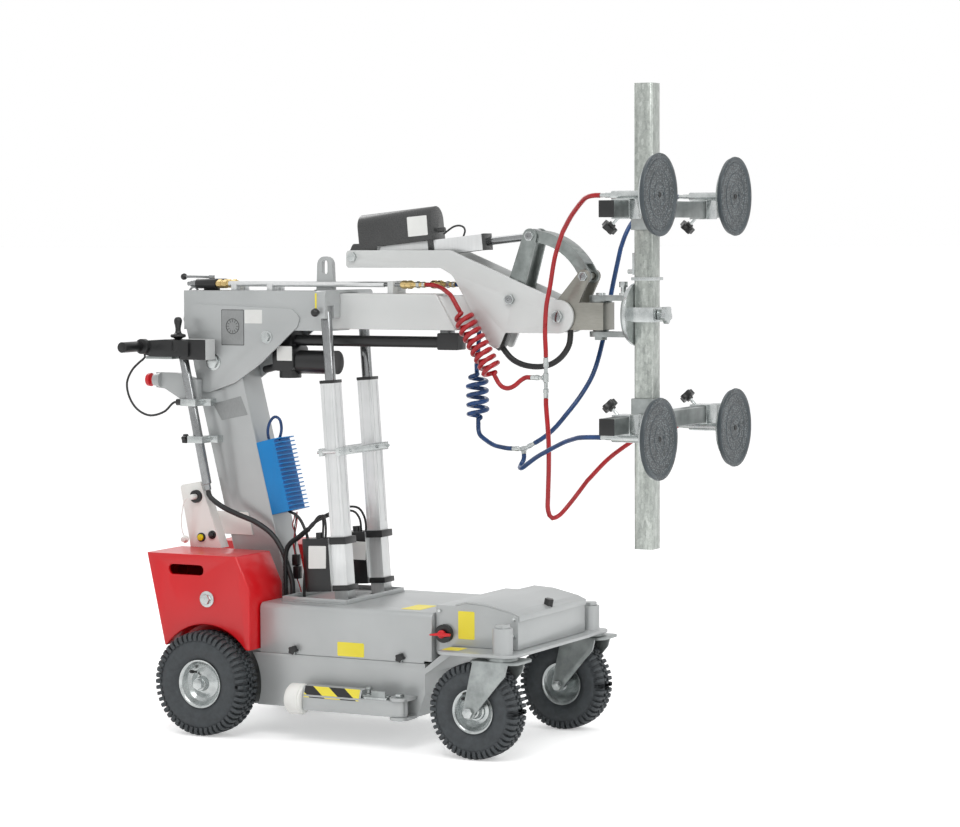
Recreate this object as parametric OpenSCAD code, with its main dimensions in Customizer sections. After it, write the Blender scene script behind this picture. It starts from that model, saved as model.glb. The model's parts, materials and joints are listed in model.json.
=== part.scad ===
// Glass panel lifter: a wheeled counterbalance crane with a telescopic boom and four suction pads.
// Millimetres. X points forward to the pads, Y to the left side, Z up.
// Inside the file, places are counted from the rear axle, the middle plane and the floor.

/* [Wheels] */
// Diameter of a rear tyre
rear_tyre_d = 270; // [250:2:280]
// Width of a rear tyre
rear_tyre_w = 88; // [80:1:92]
// Diameter of a rear rim
rear_rim_d = 120; // [110:1:130]
// Diameter of a front tyre
caster_tyre_d = 240; // [220:2:244]
// Width of a front tyre
caster_tyre_w = 80; // [70:1:84]
// Diameter of a front rim
caster_rim_d = 106; // [96:1:116]
// Place of the swivel axis ahead of the rear axle
caster_x = 862; // [840:1:880]
// Distance of the front wheel behind its swivel axis
caster_trail = 69; // [55:1:75]
// Diameter of the drive shaft stubs
drive_shaft_d = 20; // [18:1:24]
// Diameter of the front wheel axles
caster_axle_d = 16; // [14:1:20]

/* [Chassis] */
// Rear end of the lower frame
frame_rear_x = 100; // [96:1:110]
// Front end of the lower frame
frame_front_x = 622; // [600:1:630]
// Width of the lower frame
frame_w = 414; // [400:1:416]
// Height of the frame's underside above the floor
frame_low_z = 82; // [78:1:90]
// Height of the frame's top edge
frame_top_z = 217; // [212:1:220]
// Sheet thickness of the frame and covers
sheet_t = 4; // [3:0.5:5]
// Thickness of the tail shelf that carries the weights and the mast
shelf_t = 8; // [6:1:10]
// Rear edge of the tail shelf
shelf_rear_x = -130; // [-140:1:-126]
// Rear end of the deck cover
deck_rear_x = 138; // [136:1:142]
// Front end of the deck cover
deck_front_x = 641; // [630:1:642]
// Top of the deck cover
deck_top_z = 346; // [336:1:347]
// Round edge of the deck cover
deck_round = 15; // [10:1:20]
// Rear end of the front cover
cover_rear_x = 645; // [644:1:650]
// Front end of the front cover
cover_front_x = 876; // [860:1:890]
// Width of the front cover
cover_w = 380; // [360:1:384]
// Height of the lid's crown
lid_crown_z = 378; // [372:1:384]
// Rear edge of the caster plate
plate_rear_x = 690; // [686:1:700]
// Front edge of the caster plate
plate_front_x = 905; // [900:1:915]
// Underside of the caster plate
plate_low_z = 256; // [254:1:262]
// Thickness of the caster plate
plate_t = 8; // [6:1:10]

/* [Mast] */
// Lean of the mast backwards, in degrees
mast_lean = 14; // [12:0.5:16]
// Width of the mast
mast_w = 96; // [90:1:97]
// Depth of the mast
mast_d = 140; // [130:1:144]
// Wall of the mast
mast_wall = 6; // [4:1:8]
// Boom pivot behind the rear axle
pivot_x = -91; // [-96:1:-86]
// Boom pivot above the floor
pivot_z = 955; // [945:1:965]
// Diameter of the boom pivot pin
pivot_pin_d = 30; // [24:1:36]

/* [Weights] */
// Outer face of a counterweight from the middle plane
weight_out_y = 250; // [246:1:256]
// Inner face of a counterweight from the middle plane
weight_in_y = 85; // [85:1:90]
// Height of a counterweight's top
weight_top_z = 466; // [460:1:480]
// Wall of a counterweight
weight_wall = 12; // [8:1:16]

/* [Boom] */
// Width of the inner boom
inner_w = 90; // [84:1:91]
// Height of the inner boom
inner_h = 92; // [86:1:94]
// Height of the boom's middle line
boom_z = 1092; // [1090:1:1096]
// Wall of both booms
boom_wall = 4.5; // [3:0.5:5]
// Gap between inner and outer boom
slide_gap = 1; // [0.5:0.5:1.5]
// Rear end of the outer boom
boom_rear_x = -187; // [-195:1:-180]
// Front end of the outer boom
boom_front_x = 262; // [256:1:266]
// Thickness of the pivot gussets
gusset_t = 6; // [5:1:8]
// Travel of the inner boom
boom_stroke = 300; // [250:10:300]
// Length of the lift yoke along the boom
yoke_len = 29; // [24:1:32]
// Width of the lift yoke
yoke_w = 250; // [246:1:260]
// Width of the lifting lug
lug_w = 52; // [46:1:60]
// Thickness of the lifting lug
lug_t = 15; // [12:1:16]
// Top of the lifting lug
lug_top_z = 1233; // [1220:1:1245]

/* [Lift actuators] */
// Distance of each lift actuator from the middle plane
lift_y = 95; // [94:1:98]
// Lower pin of the lift actuators, forward of the rear axle
lift_foot_x = 332; // [326:1:336]
// Lower pin of the lift actuators, above the floor
lift_foot_z = 300; // [296:1:304]
// Upper pin of the lift actuators, forward of the rear axle
lift_head_x = 277; // [274:1:279]
// Upper pin of the lift actuators, above the floor
lift_head_z = 1084; // [1080:1:1086]
// Side of the square actuator tubes
lift_tube_w = 40; // [38:1:42]
// Length of the actuator tubes
lift_tube_len = 570; // [540:5:590]
// Diameter of the lift rods
lift_rod_d = 28; // [24:1:30]

/* [Extension actuator] */
// Diameter of the extension tube
extend_tube_d = 29; // [27:1:32]
// Height of the extension tube's middle
extend_z = 1014; // [1012:1:1016]
// Front end of the extension tube
extend_tube_front_x = 561; // [550:1:570]
// Diameter of the extension rod
extend_rod_d = 21; // [18:1:22]
// Length of the front clevis
clevis_len = 60; // [50:1:64]
// Diameter of the extension motor
extend_motor_d = 62; // [56:1:66]

/* [Air line] */
// Diameter of the outer air pipes
pipe_d = 14; // [12:1:16]
// Diameter of the sliding air pipes
inner_pipe_d = 9; // [8:0.5:10]
// Distance of each pipe from the middle plane
pipe_y = 22; // [20:1:26]
// Height of the pipes' middle
pipe_z = 1161; // [1158:1:1166]

/* [Jib] */
// Thickness of a jib plate
jib_t = 8; // [6:1:9]
// Clear width between the jib plates
jib_gap = 74; // [74:1:76]
// Diameter of the tilt pins
tilt_pin_d = 16; // [14:1:18]
// Diameter of the head pin
head_pin_d = 20; // [18:1:22]
// Side of the tilt actuator's tube
tilt_tube_w = 40; // [38:1:42]
// Length of the tilt actuator's tube
tilt_tube_len = 365; // [340:5:370]
// Diameter of the tilt rod
tilt_rod_d = 20; // [18:1:22]
// Rise of the curved link above its chord
link_rise = 26; // [22:1:30]

/* [Head] */
// Swing axis of the head, forward of the rear axle
swing_x = 1012; // [1010:1:1014]
// Width of the tilt block
block_w = 66; // [60:1:68]
// Diameter of the swing pin
swing_pin_d = 24; // [20:1:28]
// Height of the beam's turning axis
hub_z = 1090; // [1088:1:1092]
// Radius of the turning disc
disc_r = 78; // [72:1:84]
// Diameter of the hub spindle
spindle_d = 16; // [14:1:20]
// Side of the square beam
beam_w = 50; // [46:1:54]
// Wall of the beam
beam_wall = 3; // [2:0.5:4]
// Rear face of the beam
beam_rear_x = 1113; // [1113:1:1116]
// Lower end of the beam
beam_low_z = 511; // [480:1:540]
// Upper end of the beam
beam_top_z = 1657; // [1600:1:1700]

/* [Pads] */
// Height of the upper cross arm
arm_upper_z = 1348; // [1320:1:1380]
// Height of the lower cross arm
arm_lower_z = 834; // [800:1:860]
// Side of a cross arm
arm_w = 40; // [36:1:44]
// Half length of a cross arm
arm_half = 344; // [336:1:360]
// Diameter of a suction pad
pad_d = 198; // [180:2:210]
// Face of the pads, forward of the rear axle
pad_face_x = 1279; // [1274:1:1290]
// Distance of the pad axis above or below its cross arm
pad_rise = 33; // [32:1:36]
// Diameter of a pad shaft
pad_shaft_d = 21; // [18:1:22]

/* [Handle] */
// Lean of the handle pole backwards, in degrees
pole_lean = 11.8; // [10:0.2:13]
// Diameter of the handle pole
pole_d = 25; // [22:1:28]
// Distance of the pole from the middle plane
pole_y = 95; // [93:1:100]
// Length of the handle pole
pole_len = 348; // [320:1:360]
// Rear reach of the handlebar behind the rear axle
handlebar_x = -270; // [-280:1:-262]
// Diameter of the hand grips
grip_d = 28; // [24:1:32]

/* [Support arms] */
// Pivot of the support arms, forward of the rear axle
outrigger_x = 574; // [560:1:580]
// Length of a support arm from its pivot to its roller
outrigger_len = 297; // [270:1:310]
// Side of a support arm
outrigger_w = 40; // [36:1:42]
// Diameter of a support roller
roller_d = 79; // [70:1:84]
// Width of a support roller
roller_w = 45; // [38:1:48]

/* [Hidden] */

$fn = 48;

// Clearances
fit = 0.05;
seat = 0.3;

// Colours
paint = "#b9bbbb";
zinc = "#8a9094";
black = "#1e1f21";
rubber = "#2e3032";
chrome = "#d8dadc";
alloy = "#d5d7d8";
brass = "#b89a55";
red = "#d9222c";

// The finished part is centred over its own footprint
front_x = pad_face_x;
back_x = handlebar_x - grip_d / 2;
origin_x = -(front_x + back_x) / 2;

// Derived places of the chassis
shelf_top_z = frame_top_z + shelf_t;
wheel_y = frame_w / 2 + 41;
outrigger_y = frame_w / 2 + 43;
plate_w = 2 * wheel_y + 74;
rear_axle_z = rear_tyre_d / 2;
caster_axle_z = caster_tyre_d / 2;
caster_axle_x = caster_x - caster_trail;
tail_w = 300;
tail_rear_x = -75;
plate_top_z = plate_low_z + plate_t;
plate_beam_t = 6;
arch_low_z = 205;

// Derived places of the boom
outer_w = inner_w + 2 * (slide_gap + boom_wall);
outer_h = inner_h + 2 * (slide_gap + boom_wall);
boom_low_z = boom_z - outer_h / 2;
boom_top_z = boom_z + outer_h / 2;
inner_low_z = boom_z - inner_h / 2;
inner_top_z = boom_z + inner_h / 2;
gusset_in_y = outer_w / 2;
gusset_out_y = gusset_in_y + gusset_t;
yoke_front_x = boom_front_x + yoke_len;
yoke_low_z = lift_head_z - 9;
yoke_top_z = boom_top_z + 3;
lug_x = boom_front_x - 40;

// Lift actuator axis
lift_dx = lift_head_x - lift_foot_x;
lift_dz = lift_head_z - lift_foot_z;
lift_len = norm([lift_dx, lift_dz]);
lift_lean = -atan(lift_dx / lift_dz);

// Jib and tilt linkage, in the boom's side plane
jib_tail = [328, 1232];
lever_pivot = [782, 1126];
lever_top = [831, 1284];
link_end = [980, 1184];
head_pivot = [915, 1084];
jib_in_y = jib_gap / 2;
jib_out_y = jib_in_y + jib_t;
tilt_span = norm(lever_top - jib_tail);
tilt_rise = atan2(lever_top.y - jib_tail.y, lever_top.x - jib_tail.x);
lever_in_y = 26;
lever_out_y = 32;
link_in_y = 18.5;
link_out_y = 25;
arm_in_y = 26.5;

// Head
block_low_z = 1051;
block_top_z = 1119;
block_front_x = swing_x + 22;
yoke_plate_t = 13;
yoke_half = 28;
flange_x = beam_rear_x - 8;
disc_back_x = flange_x + seat;
beam_mid_x = beam_rear_x + beam_w / 2;
beam_front_x = beam_rear_x + beam_w;
sleeve_wall = 5;
sleeve_gap = 0.3;
sleeve_half = beam_w / 2 + sleeve_gap + sleeve_wall;
sleeve_h = 70;
arm_x = beam_mid_x + sleeve_half + arm_w / 2;
arm_wall = 2.5;
pad_y = arm_half - 112;
port_x = 1121;
high_port_z = arm_upper_z + pad_rise;
low_port_z = arm_lower_z - pad_rise;

// Handle pole: a line through this point, leaning back
pole_foot_x = -91;
pole_foot_z = 634;
pole_head_x = pole_foot_x - pole_len * sin(pole_lean);
pole_head_z = pole_foot_z + pole_len * cos(pole_lean);
head_low_z = pole_head_z - 4;
head_top_z = head_low_z + 45;
head_far_y = -pole_y + 23;
stick_z = head_top_z - 6.5;

// Hoses
hose_d = 12;
jib_hose_d = 15;
lead_d = 6;
conduit_d = 14;

// Route of the red hose from its coupling over the jib to the coil
red_in = [[529.3, -22, 1161], [543, -22, 1161], [566, -30, 1158], [596, -52, 1151], [614, -66, 1144],
    [630, -76, 1136], [641, -80, 1122.9], [647.4, -80, 1112.4], [653.8, -80, 1102.3]];
red_coil_top = [654, -80, 1102];
red_coil_foot = [760, -80, 929];
red_out = [[760.2, -80, 928.7], [766.4, -80, 918.5], [778, -80, 908], [794, -80, 905], [812, -80, 912],
    [830, -80, 926], [844, -80, 933], [856.7, -80, 933]];
red_tee = [899, -80, 933];
red_up = [[899, -80, 984.3], [899, -80, 997], [899, -84, 1045], [908, -94, 1114], [921, -102, 1155],
    [945, -120, 1235], [976, -141, 1294], [1011, -166, 1332], [1046, -192, 1360], [1080, -222, 1377],
    [port_x - 15, -pad_y, high_port_z], [port_x - seat, -pad_y, high_port_z]];
red_down = [[899, -80, 881.7], [899, -80, 869], [904, -76, 774], [901, -70, 700], [895, -62, 640], [890, -52, 600],
    [893, -38, 580], [903, -20, 584], [920, 8, 612], [945, 60, 668], [978, 120, 722],
    [1020, 175, 765], [1070, 219, 792], [port_x - 15, pad_y, low_port_z], [port_x - seat, pad_y, low_port_z]];

// Route of the blue hose over the far side to its coil
blue_in = [[592.3, 22, 1161], [604.5, 22, 1161], [620, 34, 1156], [633, 52, 1140], [638, 60, 1110],
    [640, 60, 1060], [644, 48, 1010], [652, 26, 974], [653, 20, 961], [653, 20, 948.3]];
blue_coil_top = [653, 20, 948];
blue_coil_foot = [657, 20, 806];
blue_out = [[657, 20, 805.7], [657, 20, 793], [663, 16, 780], [684, 6, 768], [720, -14, 756], [750, -28, 752.5],
    [770.9, -36, 751], [782.8, -37, 751]];
blue_wye = [817, -40, 751];
blue_up = [[847.2, -38.4, 767.1], [857.8, -37.9, 772.7], [892, -28, 800], [921, -8, 840], [945, 22, 884],
    [962, 62, 940], [974, 95, 1027], [990, 112, 1148], [1003, 136, 1251], [1022, 163, 1316],
    [1060, 205, 1364], [port_x - 15, pad_y, high_port_z], [port_x - seat, pad_y, high_port_z]];
blue_low = [[817, -40, 738.7], [817, -40, 726.5], [813, -46, 714], [814, -57, 706], [828, -72, 706], [852, -87, 719],
    [886, -104, 738], [940, -132, 762], [993, -168, 782], [1052, -212, 797],
    [port_x - 15, -pad_y, low_port_z], [port_x - seat, -pad_y, low_port_z]];

// Route of the black hose under the jib
jib_route = [[739.2, 0, 1001.3], [748.7, 0, 989.6], [764, 0, 975], [788, 0, 963], [816, 0, 957], [848, 0, 957],
    [878, 0, 965], [906, 0, 985], [924, 0, 1012], [928, 0, 1035], [928, 0, 1050.7]];

// Routes of the two cables at the operator's end
lead_route = [[-268, -118, head_low_z + 5], [-268, -118, head_low_z - 4], [-281, -122, 955], [-300, -130, 934],
    [-312, -138, 900], [-307, -134, 860], [-287, -126, 828], [-254, -117, 813], [-216, -104, 824],
    [-198, -96, 844], [-189, -95, 849], [-182.3, -95, 849]];
conduit_route = [[-87.7, -95, 618], [-84.8, -95, 604], [-50, -92, 578], [-3, -88, 558], [51, -82, 538],
    [96, -76, 508], [125, -75, 470], [146, -75, 420], [157, -75, 385], [158, -75, 366], [158, -75, 346.3]];

// Small functions
function unit(v) = v / norm(v);
function axis_x(z) = pivot_x + (pivot_z - z) * tan(mast_lean);
function arc(c, r, a0, a1, n) = [for (i = [0:n]) let (a = a0 + (a1 - a0) * i / n) c + r * [cos(a), sin(a)]];
function corner(a, p, b, r, n) =
    let (u = unit(a - p), w = unit(b - p), half = acos(u * w) / 2, c = p + unit(u + w) * r / sin(half),
        s = p + u * r / tan(half) - c, e = p + w * r / tan(half) - c,
        turn = atan2(s.x * e.y - s.y * e.x, s * e))
    [for (i = [0:n]) let (g = turn * i / n) c + [s.x * cos(g) - s.y * sin(g), s.x * sin(g) + s.y * cos(g)]];
// Outline with each corner rounded to its own radius
function rounded(pts, r, n = 5) = let (m = len(pts))
    [for (i = [0:m - 1]) let (ri = is_list(r) ? r[i] : r)
        each ri == 0 ? [pts[i]] : corner(pts[(i + m - 1) % m], pts[i], pts[(i + 1) % m], ri, n)];
function block2(x0, x1, y0, y1) = [[x0, y0], [x1, y0], [x1, y1], [x0, y1]];

// Solids placed by their limits
module box(x0, x1, y0, y1, z0, z1) {
    translate([x0, y0, z0]) cube([x1 - x0, y1 - y0, z1 - z0]);
}
// Outline in the side plane (X, Z), thick from y0 to y1
module slab(y0, y1) {
    translate([0, y1, 0]) rotate([90, 0, 0]) linear_extrude(y1 - y0) children();
}
// Outline in the front plane (Y, Z), thick from x0 to x1
module wall(x0, x1) {
    translate([x0, 0, 0]) rotate([90, 0, 90]) linear_extrude(x1 - x0) children();
}
// Outline in plan (X, Y), thick from z0 to z1
module plate(z0, z1) {
    translate([0, 0, z0]) linear_extrude(z1 - z0) children();
}
module rod_x(y, z, d, x0, x1) {
    translate([x0, y, z]) rotate([0, 90, 0]) cylinder(d = d, h = x1 - x0);
}
module rod_y(x, z, d, y0, y1) {
    translate([x, y1, z]) rotate([90, 0, 0]) cylinder(d = d, h = y1 - y0);
}
module rod_z(x, y, d, z0, z1) {
    translate([x, y, z0]) cylinder(d = d, h = z1 - z0);
}
// Hexagon head along Y
module hex_y(x, z, af, y0, y1) {
    translate([x, y1, z]) rotate([90, 0, 0]) cylinder(d = af / cos(30), h = y1 - y0, $fn = 6);
}
module both_sides() {
    children();
    mirror([0, 1, 0]) children();
}
// Bar with round ends between two points of the side plane
module bar2(p, q, r1, r2) {
    n = [-(q - p).y, (q - p).x] / norm(q - p);
    polygon([p + n * r1, q + n * r2, q - n * r2, p - n * r1]);
    translate(p) circle(r1);
    translate(q) circle(r2);
}
// Star knob on the local Z axis, foot at 0
module star_knob(d, h) {
    linear_extrude(h) polygon([for (a = [0:9:351]) d * (0.44 + 0.06 * cos(5 * a)) * [cos(a), sin(a)]]);
}
// Moves a piece into the frame of the finished part
module placed() {
    translate([origin_x, 0, 0]) children();
}

// Rings along a path: the normal is carried forward so that the tube doesn't twist
function ways(p) = let (n = len(p)) [for (i = [0:n - 1])
    i == 0 ? unit(p[1] - p[0]) : i == n - 1 ? unit(p[n - 1] - p[n - 2]) : unit(unit(p[i + 1] - p[i]) + unit(p[i] - p[i - 1]))];
function normals(t, first) = [for (i = 0, v = unit(first - t[0] * (first * t[0])); i < len(t);
    i = i + 1, v = i < len(t) ? unit(v - t[i] * (v * t[i])) : v) v];
module tube_along(path, d, sides = 8, first = [0.31, 0.93, 0.2]) {
    t = ways(path);
    v = normals(t, first);
    m = len(path);
    r = d / 2 / sqrt(cos(180 / sides));
    pts = [for (i = [0:m - 1], k = [0:sides - 1]) let (a = 360 * k / sides, w = cross(t[i], v[i]))
        path[i] + r * (cos(a) * v[i] + sin(a) * w)];
    sides_faces = [for (i = [0:m - 2], k = [0:sides - 1]) let (a = i * sides + k, b = i * sides + (k + 1) % sides)
        each [[a, a + sides, b], [b, a + sides, b + sides]]];
    foot = [for (k = [1:sides - 2]) [0, k, k + 1]];
    top = let (o = (m - 1) * sides) [for (k = [1:sides - 2]) [o, o + k + 1, o + k]];
    polyhedron(pts, concat(sides_faces, foot, top));
}
// Route of a coil that winds out from its axis and back in, with straight ends
function coil_route(a, b, turns, r, d, steps = 8) =
    let (u = unit(b - a), v = unit(cross(u, [0.1, 1, 0.05])), w = cross(u, v), n = turns * steps,
        run = norm(b - a) - 2 * d)
    concat([a], [for (i = [0:n]) let (g = 360 * i / steps,
        k = min(1, min(i, n - i) / (steps * 0.6)))
        a + u * (d + run * i / n) + r * k * (cos(g) * v + sin(g) * w)], [b]);

// Chassis

module lower_frame() placed() color(paint) {
    hw = frame_w / 2;
    nose = frame_front_x;
    difference() {
        slab(-hw, hw) polygon([[frame_rear_x, frame_low_z + 14], [frame_rear_x + 14, frame_low_z],
            [nose - 22, frame_low_z], [nose, frame_low_z + 60], [nose, frame_top_z], [frame_rear_x, frame_top_z]]);
        slab(-hw + sheet_t, hw - sheet_t) polygon([[frame_rear_x + sheet_t, frame_low_z + 14 + sheet_t / 2],
            [frame_rear_x + 14 + sheet_t / 2, frame_low_z + sheet_t], [nose - 22 - sheet_t / 2, frame_low_z + sheet_t],
            [nose - sheet_t, frame_low_z + 60], [nose - sheet_t, frame_top_z + 1],
            [frame_rear_x + sheet_t, frame_top_z + 1]]);
        // Room for the rear tyres
        both_sides() rod_y(0, rear_axle_z, rear_tyre_d + 12, wheel_y - rear_tyre_w / 2 - 6, hw + 1);
    }
    // Tail: two side plates on the axle tube, under the shelf
    both_sides() difference() {
        box(tail_rear_x, frame_rear_x + 1, tail_w / 2 - 5, tail_w / 2, rear_axle_z - 40, frame_top_z);
        rod_y(0, rear_axle_z, axle_tube_d + 2 * seat, 0, tail_w);
    }
    plate(frame_top_z, shelf_top_z) {
        polygon(block2(shelf_rear_x, deck_rear_x - 2, -wheel_y + rear_tyre_w / 2 + 9, wheel_y - rear_tyre_w / 2 - 9));
        polygon(block2(deck_rear_x - 3, axis_x(shelf_top_z) + mast_d / 2 + 12, -mast_w / 2 - 2, mast_w / 2 + 2));
    }
    // Wheel arch slope that carries the caster plate
    slab(-hw, hw) polygon([[nose - 2, arch_low_z], [nose - 2, arch_low_z - 14], [nose, arch_low_z - 14],
        [plate_rear_x + 4, plate_low_z - plate_beam_t - 8], [plate_rear_x + 12, plate_low_z],
        [plate_rear_x - 6, plate_low_z]]);
    // Clevises for the lift actuators, on the floor of the frame
    both_sides() difference() {
        union() {
            for (s = [-1, 1]) translate([0, lift_y + s * (lift_tube_w / 2 + 5), 0])
                slab(-3, 3) polygon([[lift_foot_x - 30, frame_low_z + 1], [lift_foot_x + 30, frame_low_z + 1],
                    [lift_foot_x + 16, lift_foot_z + 16], [lift_foot_x - 16, lift_foot_z + 16]]);
        }
        rod_y(lift_foot_x, lift_foot_z, lift_pin_d + 2 * fit, lift_y - 40, lift_y + 40);
    }
    // Pivot ears of the support arms
    both_sides() for (z = [outrigger_low_z - 8 - seat, outrigger_low_z + outrigger_h + seat]) difference() {
        plate(z, z + 8) {
            polygon(block2(outrigger_x - 26, outrigger_x + 26, hw + seat, outrigger_y));
            translate([outrigger_x, outrigger_y]) circle(26);
        }
        rod_z(outrigger_x, outrigger_y, outrigger_pin_d + 2 * fit, z - 1, z + 9);
    }
}
axle_tube_d = 50;
lift_pin_d = 14;
outrigger_pin_d = 16;
outrigger_low_z = 88;
outrigger_h = 40;

module deck_shape(w, z0, z1, r) {
    wall(0, deck_front_x - deck_rear_x)
        polygon(rounded([[-w / 2, z0], [w / 2, z0], [w / 2, z1], [-w / 2, z1]], [0, 0, r, r]));
}
deck_w = frame_w - 4;
module deck_cover() placed() color(paint) difference() {
    translate([deck_rear_x, 0, 0]) deck_shape(deck_w, frame_top_z, deck_top_z, deck_round);
    difference() {
        translate([deck_rear_x, 0, 0])
            deck_shape(deck_w - 2 * sheet_t, frame_top_z - 1, deck_top_z - sheet_t, deck_round - sheet_t);
        box(deck_rear_x - 1, deck_rear_x + sheet_t, -frame_w, frame_w, 0, deck_top_z + 1);
        box(deck_front_x - sheet_t, deck_front_x + 1, -frame_w, frame_w, 0, deck_top_z + 1);
    }
    // Slot for the mast's foot
    box(deck_rear_x - 1, axis_x(shelf_top_z) + mast_d / 2 + 14, -mast_w / 2 - 3, mast_w / 2 + 3,
        frame_top_z - 1, deck_top_z - sheet_t - 10);
    // Room for the slope of the wheel arch
    box(frame_front_x - 4, deck_front_x + 1, -frame_w, frame_w, frame_top_z - 1, frame_top_z + 6);
    // Slots for the lift actuators
    both_sides() box(lift_foot_x - 34, lift_foot_x + 27, lift_y - lift_tube_w / 2 - 4, lift_y + lift_tube_w / 2 + 4,
        deck_top_z - sheet_t - 1, deck_top_z + 1);
}

cover_wall_top = lid_crown_z - 7;
function lid_line(drop) = [[cover_rear_x + 55, lid_crown_z - 8 - drop], [cover_rear_x + 85, lid_crown_z - drop],
    [cover_rear_x + 140, lid_crown_z - 3 - drop], [cover_front_x - 22, lid_crown_z - 18 - drop],
    [cover_front_x, lid_crown_z - 27 - drop]];
lid_t = 4;
module front_cover() placed() color(paint) difference() {
    slab(-cover_w / 2, cover_w / 2) polygon(concat([[cover_rear_x, plate_top_z - 18],
        [plate_rear_x - 24, plate_top_z - 18], [plate_rear_x - 7, plate_low_z + seat],
        [plate_rear_x - seat, plate_low_z + seat], [plate_rear_x - seat, plate_top_z + seat],
        [cover_front_x, plate_top_z + seat]],
        [for (i = [4:-1:0]) lid_line(lid_t + seat)[i]],
        [[cover_rear_x + 50, lid_crown_z - 12], [cover_rear_x, lid_crown_z - 12]]));
    slab(-cover_w / 2 + sheet_t, cover_w / 2 - sheet_t) polygon(concat([[cover_rear_x + sheet_t, plate_top_z - 19],
        [cover_front_x - sheet_t, plate_top_z - 19], [cover_front_x - sheet_t, lid_crown_z - 48],
        [cover_rear_x + 140, lid_crown_z - 26], [cover_rear_x + sheet_t, lid_crown_z - 26]]));
    // Mouth of the compartment under the lid
    plate(lid_crown_z - 60, lid_crown_z) polygon(rounded(block2(cover_rear_x + 70, cover_front_x - 24,
        -cover_w / 2 + 20, cover_w / 2 - 20), 12));
}
lid_hinge = [cover_rear_x + 52, lid_crown_z - 9];
module front_lid() placed() color(paint) {
    slab(-cover_w / 2, cover_w / 2) polygon(concat(lid_line(0), [for (i = [4:-1:0]) lid_line(lid_t)[i]]));
    // Front lip and knob
    box(cover_front_x + seat, cover_front_x + 3, -cover_w / 2, cover_w / 2, lid_crown_z - 42, lid_crown_z - 27.5);
    slab(-cover_w / 2, cover_w / 2) polygon([[cover_front_x - 1, lid_crown_z - 30], [cover_front_x + 3, lid_crown_z - 30],
        [cover_front_x + 3, lid_crown_z - 28], [cover_front_x - 1, lid_crown_z - 27]]);
    translate([cover_front_x - 12, 0, lid_crown_z - 24]) rotate([0, 12, 0]) color(black) star_knob(24, 18);
}

module caster_plate() placed() color(paint) {
    difference() {
        plate(plate_low_z, plate_top_z) polygon(rounded(block2(plate_rear_x, plate_front_x,
            -plate_w / 2, plate_w / 2), 26));
        both_sides() rod_z(caster_x, wheel_y, stem_d + 2 * fit, plate_low_z - 1, plate_top_z + 1);
    }
    both_sides() difference() {
        union() {
            rod_z(caster_x, wheel_y, stem_house_d, plate_top_z - 1, stem_top_z);
            // Web between stem housing and cover
            box(caster_x - 20, caster_x - 12, cover_w / 2 + seat, wheel_y - 10, plate_top_z - 1, plate_top_z + 30);
        }
        rod_z(caster_x, wheel_y, stem_d + 2 * fit, plate_low_z - 1, stem_top_z + 1);
    }
}
stem_d = 30;
stem_house_d = 50;
stem_top_z = 327;

module battery_pack() placed() color(black) {
    both_sides() {
        difference() {
            box(392, 592, 6, 166, frame_low_z + sheet_t, 286);
            box(404, 580, 18, 154, 280, 287);
        }
        for (x = [422, 562]) rod_z(x, 86, 16, 280, 300);
    }
}

module drive_unit() placed() {
    color(zinc) difference() {
        union() {
            rod_y(0, rear_axle_z, axle_tube_d, -190, 190);
            rod_y(0, rear_axle_z, 116, -42, 42);
        }
        rod_y(0, rear_axle_z, drive_shaft_d + 2 * fit, -191, 191);
    }
    color(black) rod_x(0, rear_axle_z + 12, 84, 50, 96);
    color(zinc) box(40, 51, -40, 40, rear_axle_z - 30, rear_axle_z + 54);
}

module mast_outline(inset) {
    translate([pivot_x, pivot_z]) rotate(mast_lean) {
        circle(mast_d / 2 - inset);
        translate([-mast_d / 2 + inset, -900]) square([mast_d - 2 * inset, 900]);
    }
}
module mast() placed() color(paint) {
    difference() {
        union() {
            difference() {
                slab(-mast_w / 2, mast_w / 2) mast_outline(0);
                slab(-mast_w / 2 + mast_wall, mast_w / 2 - mast_wall) mast_outline(mast_wall);
                box(-400, 600, -100, 100, -200, shelf_top_z);
            }
            // Bush of the boom pivot
            rod_y(pivot_x, pivot_z, pivot_pin_d + 20, -mast_w / 2 + 1, mast_w / 2 - 1);
        }
        rod_y(pivot_x, pivot_z, pivot_pin_d + 2 * fit, -mast_w, mast_w);
    }
}

// Side outline of a counterweight
module weight_outline(inset) {
    polygon([[-179 + inset, weight_top_z - inset], [95 - inset / 2, weight_top_z - inset],
        [133 - inset, 383 - inset / 2], [133 - inset, shelf_top_z + inset], [-126 + inset, shelf_top_z + inset]]);
}
slot_x0 = -112;
slot_x1 = -6;
slot_low_z = 412;
slot_top_z = 438;
module counterweights() placed() color(red) both_sides() difference() {
    slab(weight_in_y, weight_out_y) weight_outline(0);
    difference() {
        slab(weight_in_y + weight_wall, weight_out_y - weight_wall) weight_outline(weight_wall);
        rod_y(0, rear_axle_z, rear_tyre_d + 30 + 2 * weight_wall, wheel_y - rear_tyre_w / 2 - 10 - weight_wall,
            weight_out_y + 1);
    }
    rod_y(0, rear_axle_z, rear_tyre_d + 30, wheel_y - rear_tyre_w / 2 - 10, weight_out_y + 1);
    slab(weight_out_y - weight_wall - 1, weight_out_y + 1)
        polygon(rounded(block2(slot_x0, slot_x1, slot_low_z, slot_top_z), 12));
}

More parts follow.
